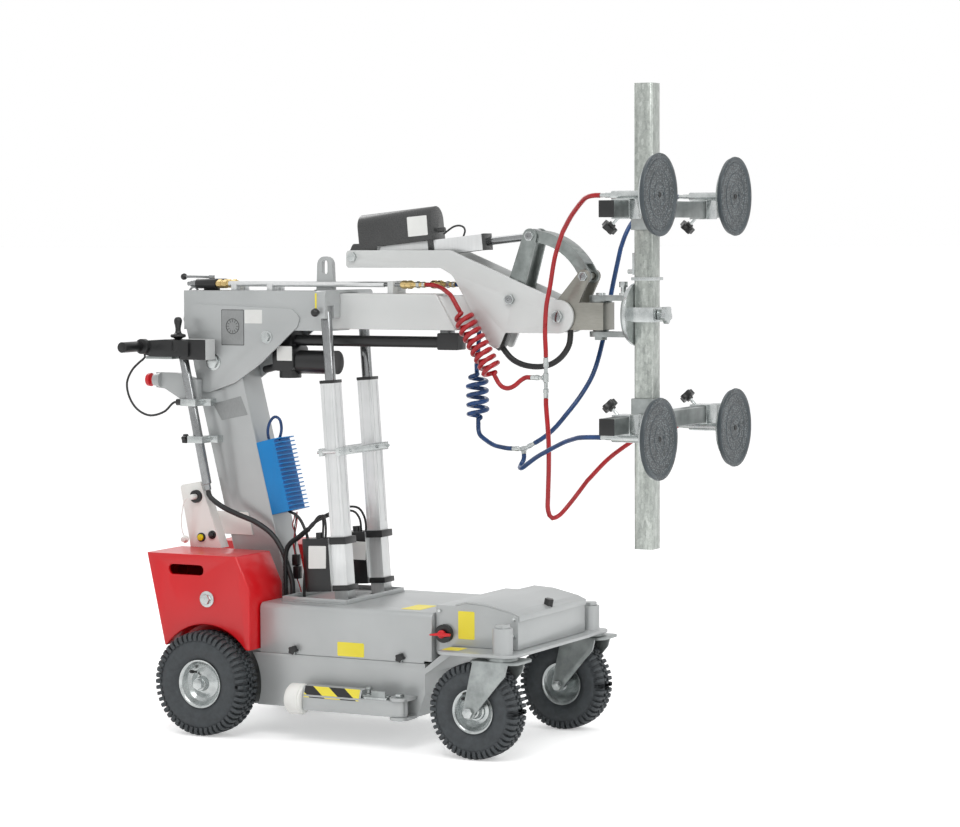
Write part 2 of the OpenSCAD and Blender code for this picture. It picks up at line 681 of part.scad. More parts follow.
module socket_panel() placed() {
    panel_out_y = 88;
    panel_in_y = 48;
    color("#e8e8e4") {
        slab(-panel_out_y, -panel_in_y - 4) polygon(rounded([[-181, 628], [-117, 640], [-52, weight_top_z],
            [-150, weight_top_z]], [8, 8, 0, 0]));
        // Tab against the mast
        slab(-panel_in_y - 4, -panel_in_y) polygon([[-120, 500], [axis_x(500), 500], [axis_x(560), 560], [-120, 560]]);
    }
    color(black) {
        difference() {
            rod_y(-128, 600, 34, -panel_out_y - 9, -panel_out_y);
            rod_y(-128, 600, 14 + 2 * seat, -panel_out_y - 10, -panel_out_y - 1);
        }
        for (p = [[-114, 492, 24], [-80, 500, 22]]) difference() {
            rod_y(p[0], p[1], p[2], -panel_out_y - 5, -panel_out_y);
            rod_y(p[0], p[1], p[2] - 6, -panel_out_y - 6, -panel_out_y + 1);
        }
    }
    // Plug with its short lead, kept in the socket
    color("#ecebe6") {
        rod_y(-128, 600, 14, -panel_out_y - 30, -panel_out_y - 2);
    }
}
button_y = -91;
module yellow_button() placed() color("#e8d800") rod_y(-114, 492, 17, button_y - 7, button_y);
module black_button() placed() color(black) rod_y(-80, 500, 15, button_y - 6, button_y);

module charger() placed() color("#0f86c8") {
    translate([axis_x(650) + mast_d / 2 / cos(mast_lean), -8, 650]) rotate([0, -mast_lean, 0]) {
        box(seat, 54, -41, 41, -97, 97);
        for (z = [-97:11.2:94]) box(53, 68, -41, 41, z, z + 3);
    }
}

module mast_brackets() placed() {
    clamp_w = 46;
    color(zinc) for (z = [clamp_low_z, clamp_high_z]) {
        px = pole_x(z);
        difference() {
            union() {
                box(px - clamp_w / 2, px + clamp_w / 2, -pole_y - 20, -pole_y + 20, z - 9, z + 9);
                box(px - 4, px + 46, -pole_y + 19, -mast_w / 2, z - 9, z + 9);
            }
            pole_axis() cylinder(d = pole_d + 2 * fit, h = 900, center = true);
        }
    }
    // Knob of the lower clamp, cable gland of the upper one
    color(black) translate([pole_x(clamp_low_z) - clamp_w / 2 - 12, -pole_y, clamp_low_z]) rotate([0, -90, 0]) {
        star_knob(26, 12);
        translate([0, 0, -12]) cylinder(d = 8, h = 12.5);
    }
    color(black) rod_x(-pole_y, clamp_high_z, 18, -182, -158);
    // Horn of the stop button, standing on the upper clamp behind the pole
    color(paint) difference() {
        union() {
            slab(-pole_y + 13.5, -pole_y + 36.5) polygon([[-257, 926], [-191, 925], [-128, 908], [-128, 857], [-182, 857],
                [-230, 883], [-257, 886]]);
            translate([-262, estop_y, estop_z]) rotate([0, 90, 0]) cylinder(d1 = 32, d2 = 40, h = 22);
        }
        rod_x(estop_y, estop_z, 14 + 2 * seat, -263, -243);
    }
}
clamp_low_z = 752;
clamp_high_z = 849;
estop_y = -80;
estop_z = 906;
module estop_button() placed() color(red) {
    rod_x(estop_y, estop_z, 14, -272, -250);
    translate([-283.5, estop_y, estop_z]) rotate([0, 90, 0]) cylinder(d1 = 34, d2 = 36, h = 12);
}

function pole_x(z) = pole_foot_x - (z - pole_foot_z) * tan(pole_lean);
// Local Z runs along the pole, from its lower end
module pole_axis() {
    translate([pole_foot_x, -pole_y, pole_foot_z]) rotate([0, -pole_lean, 0]) children();
}
module handle_pole() placed() color(chrome) pole_axis() {
    cylinder(d = pole_d, h = pole_len);
    translate([0, 0, -16]) cylinder(d = 18, h = 16);
}
module control_head() placed() {
    difference() {
        union() {
            color(black) slab(-pole_y - 34, head_far_y) polygon(rounded([[-282, head_low_z + 9], [-244, head_low_z],
                [-125, head_low_z], [-125, head_top_z - 3], [-196, head_top_z], [-282, head_top_z - 5]],
                [8, 10, 6, 8, 10, 12]));
            // Mount in front of the pole
            color(zinc) box(-154, -77, -pole_y - 23, head_far_y, head_low_z - 8, head_top_z + 0.5);
        }
        pole_axis() cylinder(d = pole_d + 2 * fit, h = pole_len + seat);
        rod_z(joy_x, -pole_y, 26, stick_z - 6, head_top_z + 9);
    }
    // Handlebar with its grips
    color(black) {
        rod_y(handlebar_x, grip_z, 16, -223, 22);
        rod_y(handlebar_x, grip_z, grip_d, -221, -144);
        rod_y(handlebar_x, grip_z, grip_d, -58, 20);
        // Collar round the bar at the near face
        rod_y(handlebar_x + 8, grip_z, 40, -pole_y - 48, -pole_y - 33);
    }
}
grip_z = head_low_z + 26;
joy_x = -177;
module joystick() placed() color(black) translate([joy_x, -pole_y, stick_z]) {
    rod_y(0, 0, 8, -8, 8);
    cylinder(d = 18, h = 14);
    translate([0, 0, 13]) cylinder(d = 41, h = 7);
    cylinder(d = 12, h = 46);
    translate([0, 0, 54]) sphere(d = 22);
}

module chassis_fasteners() placed() {
    both_sides() {
        color(black) for (x = [deck_rear_x + 103, deck_front_x - 87])
            translate([x, -deck_w / 2, frame_top_z + 12]) rotate([90, 0, 0]) star_knob(24, 14);
        color(zinc) {
            translate([6, -weight_out_y, 352]) rotate([90, 0, 0]) cylinder(d = 42, h = 3);
            hex_y(6, 352, 24, -weight_out_y - 14, -weight_out_y - 3);
            rod_z(outrigger_x, -outrigger_y, outrigger_pin_d, outrigger_low_z - 12, outrigger_low_z + outrigger_h + 14);
            translate([outrigger_x, -outrigger_y, outrigger_low_z + outrigger_h + 9]) cylinder(d = 26, h = 8, $fn = 6);
        }
        // Lower pins of the lift actuators
        color(zinc) rod_y(lift_foot_x, lift_foot_z, lift_pin_d, lift_y - lift_tube_w / 2 - 12, lift_y + lift_tube_w / 2 + 12);
    }
    // Base of the battery isolator
    color(black) difference() {
        rod_y(isolator_x, isolator_z, 46, -cover_w / 2 - 14, -cover_w / 2);
        rod_y(isolator_x, isolator_z, 16 + 2 * seat, -cover_w / 2 - 15, -cover_w / 2 - 3);
    }
}
isolator_x = 672;
isolator_z = 296;
module isolator_key() placed() color(red) {
    rod_y(isolator_x, isolator_z, 16, -cover_w / 2 - 30, -cover_w / 2 - 3.5);
    slab(-cover_w / 2 - 34, -cover_w / 2 - 24) bar2([isolator_x - 22, isolator_z], [isolator_x + 22, isolator_z], 7, 7);
}

// Support arms, drawn for the right side
module support_arm() {
    color(paint) difference() {
        union() {
            box(arm_rear_x, outrigger_x, -outrigger_y - outrigger_w / 2, -outrigger_y + outrigger_w / 2,
                outrigger_low_z, outrigger_low_z + outrigger_h);
            // Raised back with a sloping face
            translate([arm_rear_x, -outrigger_y, outrigger_low_z]) rotate([90, 0, 90])
                linear_extrude(outrigger_x - 104 - arm_rear_x) polygon([[-outrigger_w / 2, outrigger_h - 7],
                    [outrigger_w / 2, outrigger_h - 7], [outrigger_w / 2, arm_back_z], [-outrigger_w / 4, arm_back_z]]);
            rod_z(outrigger_x, -outrigger_y, outrigger_w, outrigger_low_z, outrigger_low_z + outrigger_h);
        }
        rod_z(outrigger_x, -outrigger_y, outrigger_pin_d + 2 * fit, 0, 300);
    }
    color(zinc) {
        rod_x(-outrigger_y, roller_z, 16, outrigger_x - outrigger_len - roller_w / 2 - 6,
            outrigger_x - outrigger_len + roller_w / 2 + 4);
        // Latch handle on top
        box(outrigger_x - 96, outrigger_x - 30, -outrigger_y - 16, -outrigger_y + 6, outrigger_low_z + outrigger_h,
            outrigger_low_z + outrigger_h + 6);
    }
}
arm_rear_x = outrigger_x - outrigger_len + 2 + roller_w / 2;
arm_back_z = outrigger_h + 21;
roller_z = outrigger_low_z + 24;
module arm_roller() color("#e6e6e2") difference() {
    union() {
        rod_x(-outrigger_y, roller_z, roller_d, outrigger_x - outrigger_len - roller_w / 2 + 5,
            outrigger_x - outrigger_len + roller_w / 2 - 5);
        rod_x(-outrigger_y, roller_z, roller_d - 10, outrigger_x - outrigger_len - roller_w / 2,
            outrigger_x - outrigger_len + roller_w / 2);
    }
    rod_x(-outrigger_y, roller_z, 16 + 2 * fit, 0, 700);
}
module support_arm_right() placed() support_arm();
module support_arm_left() placed() mirror([0, 1, 0]) support_arm();
module arm_roller_right() placed() arm_roller();
module arm_roller_left() placed() mirror([0, 1, 0]) arm_roller();

// Wheels on the local Z axis, middle at 0
module tyre(d, w, rim) {
    rotate_extrude($fn = 64) polygon(rounded([[rim / 2, -w * 0.3], [rim / 2 + (d - rim) * 0.16, -w * 0.47],
        [rim / 2 + (d - rim) * 0.34, -w * 0.5], [d / 2, -w * 0.3], [d / 2, w * 0.3],
        [rim / 2 + (d - rim) * 0.34, w * 0.5], [rim / 2 + (d - rim) * 0.16, w * 0.47], [rim / 2, w * 0.3]],
        [0, 8, 8, 14, 14, 8, 8, 0], 4));
}
module rim(d, w, hub, bore) {
    seat_r = d / 2 - seat;
    rotate_extrude($fn = 64) polygon([[bore / 2, -w * 0.42], [hub / 2, -w * 0.42], [hub / 2, -8], [seat_r - 16, -8],
        [seat_r - 6, -w * 0.3], [seat_r, -w * 0.3], [seat_r, w * 0.3], [seat_r - 6, w * 0.3],
        [seat_r - 16, -2], [hub / 2, -2], [hub / 2, w * 0.42], [bore / 2, w * 0.42]]);
}
// Local Z points outwards on the right side
module right_side(x, z) {
    translate([x, -wheel_y, z]) rotate([90, 0, 0]) children();
}
module rear_tyre() color(rubber) right_side(0, rear_axle_z) tyre(rear_tyre_d, rear_tyre_w, rear_rim_d);
module rear_rim() color(chrome) {
    right_side(0, rear_axle_z) {
        rim(rear_rim_d, rear_tyre_w, 46, 1);
        translate([0, 0, -wheel_y + 20]) cylinder(d = drive_shaft_d, h = wheel_y - 10);
        translate([0, 0, rear_tyre_w * 0.42 - 1]) cylinder(d = 20, h = 9, $fn = 6);
    }
}
module rear_tyre_right() placed() rear_tyre();
module rear_tyre_left() placed() mirror([0, 1, 0]) rear_tyre();
module rear_rim_right() placed() rear_rim();
module rear_rim_left() placed() mirror([0, 1, 0]) rear_rim();

fork_in = 45;
fork_t = 5;
fork_top_z = caster_tyre_d + 9;
module caster_fork() color(zinc) {
    both = [-wheel_y - fork_in - fork_t, -wheel_y + fork_in];
    // Crown plate, race and stem
    plate(fork_top_z - 6, fork_top_z)
        polygon(rounded(block2(caster_x - 70, caster_x + 61, -wheel_y - fork_in - fork_t, -wheel_y + fork_in + fork_t), 18));
    rod_z(caster_x, -wheel_y, 76, fork_top_z - 1, plate_low_z - seat);
    rod_z(caster_x, -wheel_y, stem_d, fork_top_z, stem_top_z + 4);
    translate([caster_x, -wheel_y, stem_top_z + seat]) cylinder(d = stem_d + 10, h = 8, $fn = 6);
    for (y = both) slab(y, y + fork_t) {
        polygon([[caster_x - 58, fork_top_z - 1], [caster_x + 38, fork_top_z - 1], [caster_x + 30, fork_top_z - 34],
            [caster_axle_x + 17, caster_axle_z - 2], [caster_axle_x - 17, caster_axle_z + 2]]);
        translate([caster_axle_x, caster_axle_z]) circle(17);
    }
    rod_y(caster_axle_x, caster_axle_z, caster_axle_d, -wheel_y - fork_in - 8, -wheel_y + fork_in + 8);
    for (y = [-wheel_y - fork_in - fork_t - 9, -wheel_y + fork_in + fork_t])
        hex_y(caster_axle_x, caster_axle_z, 24, y, y + 9);
}
module caster_wheel() {
    right_side(caster_axle_x, caster_axle_z) {
        color(rubber) tyre(caster_tyre_d, caster_tyre_w, caster_rim_d);
        color(chrome) rim(caster_rim_d, caster_tyre_w + 14, 40, caster_axle_d + 2 * fit);
    }
}
module caster_fork_right() placed() caster_fork();
module caster_fork_left() placed() mirror([0, 1, 0]) caster_fork();
module caster_wheel_right() placed() caster_wheel();
module caster_wheel_left() placed() mirror([0, 1, 0]) caster_wheel();

// Boom

gusset_pts = [[-155, boom_z + 16], [151, boom_z + 5], [175, boom_z - 18], [166, boom_z - 42], [58, 957], [-26, 901],
    [-105, 875], [-136, 877], [-175, 1039], [boom_rear_x, 1070]];
module outer_boom() placed() color(paint) {
    difference() {
        union() {
            box(boom_rear_x, boom_front_x, -outer_w / 2, outer_w / 2, boom_low_z, boom_top_z);
            both_sides() slab(gusset_in_y, gusset_out_y)
                polygon(rounded(gusset_pts, [30, 20, 14, 20, 60, 60, 20, 16, 30, 12], 4));
        }
        box(boom_rear_x + boom_wall, boom_front_x + 1, -inner_w / 2 - slide_gap, inner_w / 2 + slide_gap,
            inner_low_z - slide_gap, inner_top_z + slide_gap);
        rod_y(pivot_x, pivot_z, pivot_pin_d + 2 * fit, -80, 80);
    }
    color(zinc) {
        rod_y(pivot_x, pivot_z, pivot_pin_d, -gusset_out_y - 3, gusset_out_y + 3);
        both_sides() {
            rod_y(pivot_x, pivot_z, 44, gusset_out_y, gusset_out_y + 3);
            hex_y(pivot_x, pivot_z, 30, gusset_out_y + 3, gusset_out_y + 12);
            rod_y(74, 1023, 34, gusset_out_y, gusset_out_y + 3);
            hex_y(74, 1023, 22, gusset_out_y + 3, gusset_out_y + 11);
        }
    }
}

rod_slot = lift_rod_d / 2 + 3;
module lift_yoke() placed() color(paint) {
    difference() {
        wall(boom_front_x, yoke_front_x)
            polygon(rounded([[-yoke_w / 2, yoke_low_z], [yoke_w / 2, yoke_low_z], [yoke_w / 2, yoke_top_z],
                [-yoke_w / 2, yoke_top_z]], [0, 0, 14, 14]));
        box(0, 400, -inner_w / 2 - slide_gap - 1, inner_w / 2 + slide_gap + 1, 0, inner_top_z + slide_gap);
        both_sides() box(0, 400, lift_y - rod_slot, lift_y + rod_slot, 0, lift_head_z + 24);
    }
    // Pin ends in the cheeks of each slot
    both_sides() for (y = [lift_y - rod_slot - 1, lift_y + rod_slot - 2.6])
        rod_y(lift_head_x, lift_head_z, 12, y, y + 3.6);
    // Lifting lug on the boom
    difference() {
        slab(-lug_t / 2, lug_t / 2) polygon(rounded([[lug_x - lug_w / 2, boom_top_z], [lug_x + lug_w / 2, boom_top_z],
            [lug_x + lug_w / 2 - 4, lug_top_z], [lug_x - lug_w / 2 + 4, lug_top_z]], [0, 0, 21, 21]));
        slab(-lug_t, lug_t) bar2([lug_x, lug_top_z - 17], [lug_x, lug_top_z - 39], lug_hole_r, lug_hole_r);
    }
    box(lug_x - lug_w / 2 - 6, boom_front_x + 1, -lug_t / 2, lug_t / 2, boom_top_z, yoke_top_z);
    // Spring plunger
    color(black) translate([boom_front_x + 8, -yoke_w / 2, 1091]) rotate([90, 0, 0]) {
        cylinder(d = 12, h = 8);
        translate([0, 0, 14]) sphere(d = 22);
    }
}
lug_hole_r = 8;

module air_lines() placed() {
    for (y = [-pipe_y, pipe_y]) {
        color(alloy) difference() {
            rod_x(y, pipe_z, pipe_d, -62, pipe_front_x);
            rod_x(y, pipe_z, inner_pipe_d + 2 * fit, 40, pipe_front_x + 1);
        }
        color(brass) rod_x(y, pipe_z, 17, -100, -62);
        color(black) rod_x(y, pipe_z, 26, -162, -100);
        // Saddles on the boom
        color(alloy) for (x = [-50, 60]) difference() {
            box(x, x + 16, y - 10, y + 10, boom_top_z, pipe_z);
            rod_x(y, pipe_z, pipe_d, x - 1, x + 17);
        }
    }
    // Cross piece between the two valves
    color(black) box(-150, -112, -pipe_y, pipe_y, pipe_z - 8, pipe_z + 8);
    color(black) rod_z(-131, 0, 20, pipe_z - 8, pipe_z + 12);
    color(paint) box(-150, -112, -10, 10, boom_top_z, pipe_z - 8);
}
pipe_front_x = 409;
module valve_lever() placed() {
    color(chrome) {
        rod_z(-131, 0, 16, pipe_z + 12 + seat, pipe_z + 22);
        rod_x(0, pipe_z + 18, 7, -212, -131);
    }
    color(black) translate([-219, 0, pipe_z + 18]) sphere(d = 18);
}

gearbox_rear_x = 79;
gearbox_front_x = 143;
module extend_actuator() placed() {
    color(black) {
        slab(-38, 38) polygon(rounded(block2(gearbox_rear_x, gearbox_front_x, 934, 1001), 14));
        rod_x(0, 957, extend_motor_d, gearbox_front_x - 1, 256);
        box(gearbox_rear_x + 20, gearbox_front_x - 10, -30, 30, 1000, boom_low_z);
        difference() {
            rod_x(0, extend_z, extend_tube_d, gearbox_front_x - 30, extend_tube_front_x);
            rod_x(0, extend_z, extend_rod_d + 2 * fit, gearbox_front_x + 4, extend_tube_front_x + 1);
        }
        rod_z(111, 0, 58, 915, 936);
        // Conduit down to the mast
        slab(-10, 10) bar2([80, 946], [40, 936], 9, 9);
    }
}

inner_rear_x = -170;
inner_front_low_x = 626;
inner_front_top_x = 571;
core_front_x = 738;
module inner_boom() placed() {
    color(paint) difference() {
        slab(-inner_w / 2, inner_w / 2) polygon([[inner_rear_x, inner_low_z], [inner_front_low_x, inner_low_z],
            [inner_front_top_x, inner_top_z], [inner_rear_x, inner_top_z]]);
        box(inner_rear_x - 1, inner_front_top_x - 12, -inner_w / 2 + boom_wall, inner_w / 2 - boom_wall,
            inner_low_z + boom_wall, inner_top_z - boom_wall);
    }
    // Core that carries the jib plates
    color(paint) difference() {
        box(inner_front_top_x - 6, core_front_x, -jib_in_y, jib_in_y, inner_low_z + 6, inner_top_z - 4);
        slab(-jib_gap, jib_gap) polygon([[inner_front_top_x - 20, inner_low_z], [inner_front_low_x, inner_low_z],
            [inner_front_top_x, inner_top_z], [inner_front_top_x - 20, inner_top_z]]);
        box(inner_front_low_x + 10, core_front_x - 8, -jib_in_y + 8, jib_in_y - 8, inner_low_z + 14, inner_top_z - 12);
    }
}

module jib_outline() {
    polygon(concat(rounded([[308, 1204], [308, 1249], [612, 1249], [head_pivot.x - 8, 1128],
        [head_pivot.x, head_pivot.y - 42], [765, head_pivot.y - 42], [745, 999], [722, 1012],
        [618, 1186], [584, 1204]], [9, 9, 40, 6, 0, 6, 8, 8, 30, 20], 4)));
    translate(head_pivot) circle(42);
}
module jib_plates() placed() {
    color(paint) both_sides() difference() {
        slab(jib_in_y, jib_out_y) jib_outline();
        for (p = [jib_tail, lever_pivot]) rod_y(p.x, p.y, tilt_pin_d + 2 * fit, 0, 90);
        rod_y(head_pivot.x, head_pivot.y, head_pin_d + 2 * fit, 0, 90);
    }
    // Spacers between the plates
    color(paint) {
        box(380, 430, -jib_in_y, jib_in_y, 1205, 1212);
        box(700, 706, -jib_in_y, jib_in_y, 1142, 1186);
    }
    // Hose hook below the nose
    color(zinc) slab(-10, 10) polygon([[720, 1052], [758, 1052], [758, 1040], [747, 1008], [731, 995], [709, 1010]]);
}

module slide_rods() placed() {
    // Extension rod and its square clevis under the inner boom
    color(chrome) rod_x(0, extend_z, extend_rod_d, gearbox_front_x + 30, extend_tube_front_x + 10);
    color(black) difference() {
        slab(-22, 22) polygon(rounded(block2(extend_tube_front_x + seat, extend_tube_front_x + clevis_len,
            extend_z - 19, extend_z + 24), 4));
        rod_x(0, extend_z, extend_rod_d, extend_tube_front_x - 1, extend_tube_front_x + 10);
    }
    color(paint) box(extend_tube_front_x + 8, extend_tube_front_x + 30, -20, 20, extend_z + 24, inner_low_z);
    // Sliding air pipes with their couplings and clip
    for (s = [[-pipe_y, 459, 529], [pipe_y, 522, 592]]) {
        color(chrome) rod_x(s[0], pipe_z, inner_pipe_d, 46, s[1] + 1);
        color(brass) difference() {
            union() {
                rod_x(s[0], pipe_z, 18, s[1], s[1] + 34);
                rod_x(s[0], pipe_z, 14, s[1] + 34, s[2]);
            }
            rod_x(s[0], pipe_z, inner_pipe_d, s[1] - 1, s[1] + 1);
        }
    }
    color(alloy) difference() {
        box(424, 440, -pipe_y - 12, pipe_y + 12, inner_top_z, pipe_z + 9);
        for (y = [-pipe_y, pipe_y]) rod_x(y, pipe_z, inner_pipe_d, 400, 500);
        box(400, 500, -pipe_y + 12, pipe_y - 12, inner_top_z + 6, 1200);
    }
}

// Lift actuators: local Z runs from the lower to the upper pin
module lift_axis(y) {
    translate([lift_foot_x, y, lift_foot_z]) rotate([0, -lift_lean, 0]) children();
}
lift_tube_low = 48;
lift_tube_top = lift_tube_low + lift_tube_len;
module lift_actuators() placed() {
    half = lift_tube_w / 2;
    for (y = [-lift_y, lift_y]) lift_axis(y) {
        // Square tube with the rod's bore, and the foot eye below
        color(alloy) difference() {
            union() {
                box(-half, half, -half, half, lift_tube_low, lift_tube_top - 8);
                box(-12, 12, -half, half, -4, lift_tube_low + 1);
                rod_y(0, 0, 36, -half, half);
            }
            rod_z(0, 0, lift_rod_d + 2 * fit, lift_tube_low + 14, lift_tube_top + 1);
            rod_y(0, 0, lift_pin_d + 2 * fit, -half - 1, half + 1);
        }
        color(black) difference() {
            box(-half - 1, half + 1, -half - 1, half + 1, lift_tube_top - 8, lift_tube_top);
            rod_z(0, 0, lift_rod_d + 2 * fit, 0, lift_tube_top + 1);
        }
        // Motor with its collar round the tube
        color(black) {
            difference() {
                union() {
                    plate(76, 212) polygon(rounded(block2(-half - 86, -half, -34, 34), [20, 0, 0, 20]));
                    box(-half - 8, half + 8, -half - 8, half + 8, 196, 214);
                    box(-half - 6, half + 6, -half - 6, half + 6, 76, 90);
                }
                box(-half, half, -half, half, 0, 300);
            }
            rod_z(-half - 44, 0, 20, 211, 226);
        }
    }
    // Bars that tie the two tubes together
    color(zinc) lift_axis(0) {
        for (x = [-half - 10, half]) box(x, x + 10, -lift_y - 34, lift_y + 34, 424, 444);
        for (y = [-lift_y - 28, -lift_y + 26, lift_y - 26, lift_y + 28])
            rod_x(y, 434, 8, -half - 16, half + 16);
    }
}
module lift_rods() placed() color(chrome)
    for (y = [-lift_y, lift_y]) lift_axis(y) rod_z(0, 0, lift_rod_d, 180, lift_len + 8);

// Tilt actuator: local X runs from the tail pin to the lever
module tilt_axis() {
    translate([jib_tail.x, 0, jib_tail.y]) rotate([0, -tilt_rise, 0]) children();
}
module tilt_actuator() placed() {
    half = tilt_tube_w / 2;
    tilt_axis() {
        color(alloy) difference() {
            box(34, tilt_tube_len, -half, half, -half, half);
            rod_x(0, 0, tilt_rod_d + 2 * fit, 38, tilt_tube_len + 1);
        }
        color(black) {
            difference() {
                union() {
                    slab(-34, 34) polygon(rounded([[-14, -16], [30, -22], [64, -22], [70, 26], [-2, 34], [-14, 16]],
                        [12, 4, 4, 4, 8, 8]));
                    // Motor shell with its round top, and the saddle at its front
                    box(16, 232, -34, 34, half + 1, 72);
                    rod_x(0, 72, 68, 16, 232);
                    box(212, 226, -half - 6, half + 6, -10, half + 2);
                }
                box(34, tilt_tube_len, -half, half, -half, half);
            }
            difference() {
                box(tilt_tube_len, tilt_tube_len + 8, -half - 1, half + 1, -half - 1, half + 1);
                rod_x(0, 0, tilt_rod_d + 2 * fit, 0, 400);
            }
            rod_x(0, 44, 12, 231, 252);
        }
        color(zinc) {
            rod_y(0, 0, tilt_pin_d, -jib_out_y - 3, jib_out_y + 3);
            both_sides() hex_y(0, 0, 22, jib_out_y + seat, jib_out_y + 9);
        }
    }
}
eye_play = 5;
module tilt_rod() placed() color(chrome) tilt_axis() difference() {
    union() {
        rod_x(0, 0, tilt_rod_d, 125, tilt_span - 14);
        translate([tilt_span, 0, 0]) rod_y(0, 0, tilt_pin_d + 2 * eye_play + 10, -11, 11);
    }
    translate([tilt_span, 0, 0]) rod_y(0, 0, tilt_pin_d + 2 * eye_play, -20, 20);
}
module tilt_levers() placed() color(zinc) {
    both_sides() {
        slab(lever_in_y, lever_out_y) bar2(lever_pivot, lever_top, 25, 19);
        hex_y(lever_pivot.x, lever_pivot.y, 24, jib_out_y + seat, jib_out_y + 9);
        hex_y(lever_top.x, lever_top.y, 22, lever_out_y, lever_out_y + 7);
    }
    rod_y(lever_pivot.x, lever_pivot.y, tilt_pin_d, -jib_out_y - 3, jib_out_y + 3);
    rod_y(lever_pivot.x, lever_pivot.y, 26, -lever_in_y - 1, lever_in_y + 1);
    rod_y(lever_top.x, lever_top.y, tilt_pin_d, -lever_out_y, lever_out_y);
}
// Curved link as a band about the centre of its arc
link_chord = norm(link_end - lever_top);
link_r = link_chord * link_chord / 8 / link_rise + link_rise / 2;
link_dir = (link_end - lever_top) / link_chord;
link_side = [-link_dir.y, link_dir.x];
link_mid = (lever_top + link_end) / 2;
link_centre = link_mid - link_side * (link_r - link_rise);
link_half = 15;
module link_band(r0, r1, trim) {
    a0 = atan2(lever_top.y - link_centre.y, lever_top.x - link_centre.x) - trim;
    a1 = atan2(link_end.y - link_centre.y, link_end.x - link_centre.x) + trim;
    polygon(concat(arc(link_centre, r1, a0, a1, 10), arc(link_centre, r0, a1, a0, 10)));
}
module tilt_link() placed() color(zinc) difference() {
    union() {
        both_sides() slab(link_in_y, link_out_y) {
            link_band(link_r - link_half, link_r + link_half, 0);
            for (p = [lever_top, link_end]) translate(p) circle(link_half + 2);
        }
        slab(-link_out_y, link_out_y) link_band(link_r + link_half - 5, link_r + link_half, 9);
    }
    rod_y(lever_top.x, lever_top.y, tilt_pin_d + 2 * fit, -40, 40);
    rod_y(link_end.x, link_end.y, tilt_pin_d + 5, -40, 40);
}

module tilt_head() placed() color("#9a9a94") {
    difference() {
        union() {
            both_sides() slab(arm_in_y, block_w / 2) bar2(head_pivot, link_end, 33, 17);
            slab(-block_w / 2, block_w / 2) polygon([[head_pivot.x - 10, block_low_z], [block_front_x, block_low_z],
                [block_front_x, block_top_z], [head_pivot.x - 10, block_top_z]]);
            rod_y(head_pivot.x, head_pivot.y, head_pin_d, -jib_out_y - 3, jib_out_y + 3);
            both_sides() hex_y(head_pivot.x, head_pivot.y, 28, jib_out_y + seat, jib_out_y + 11);
            rod_y(link_end.x, link_end.y, tilt_pin_d, -block_w / 2, block_w / 2);
            both_sides() hex_y(link_end.x, link_end.y, 22, block_w / 2, block_w / 2 + 7);
        }
        rod_z(swing_x, 0, swing_pin_d + 2 * fit, block_low_z - 1, block_top_z + 1);
    }
}

module yoke_leaf() {
    translate([swing_x, 0]) circle(yoke_half);
    polygon([[swing_x, -yoke_half], [flange_x - 2, -yoke_half - 8], [flange_x - 2, yoke_half + 8], [swing_x, yoke_half]]);
}
module swing_yoke() placed() color(zinc) {
    plate(block_low_z - 4 - yoke_plate_t, block_low_z - 4) yoke_leaf();
    plate(block_top_z + 5, block_top_z + 5 + yoke_plate_t) yoke_leaf();
    rod_z(swing_x, 0, swing_pin_d, block_low_z - 22, block_top_z + 24);
    rod_z(swing_x, 0, 56, block_top_z + seat, block_top_z + 5);
    rod_z(swing_x, 0, 40, block_low_z - 4, block_low_z - seat);
    translate([swing_x, 0, block_low_z - 4 - yoke_plate_t - 8]) cylinder(d = 34, h = 8, $fn = 6);
    // Flange behind the turning disc, and the spindle
    rod_x(0, hub_z, disc_r * 2 - 16, flange_x - 8, flange_x);
    rod_x(0, hub_z, spindle_d, flange_x - 9, spindle_front_x + 4);
    // Index plunger on the upper leaf
    rod_z(swing_x + 62, 0, 22, block_top_z + 17, block_top_z + 24);
    rod_z(swing_x + 62, 0, 14, block_top_z + 17, block_top_z + 44);
    rod_z(swing_x + 62, 0, 22, block_top_z + 38, block_top_z + 52);
    // Hand knob on the spindle
    rod_x(0, hub_z, 26, spindle_front_x, spindle_front_x + 14);
    translate([spindle_front_x + 14, 0, hub_z]) rotate([0, 90, 0]) star_knob(46, 12);
}
strap_t = 5;
spindle_front_x = beam_front_x + strap_t + 2;

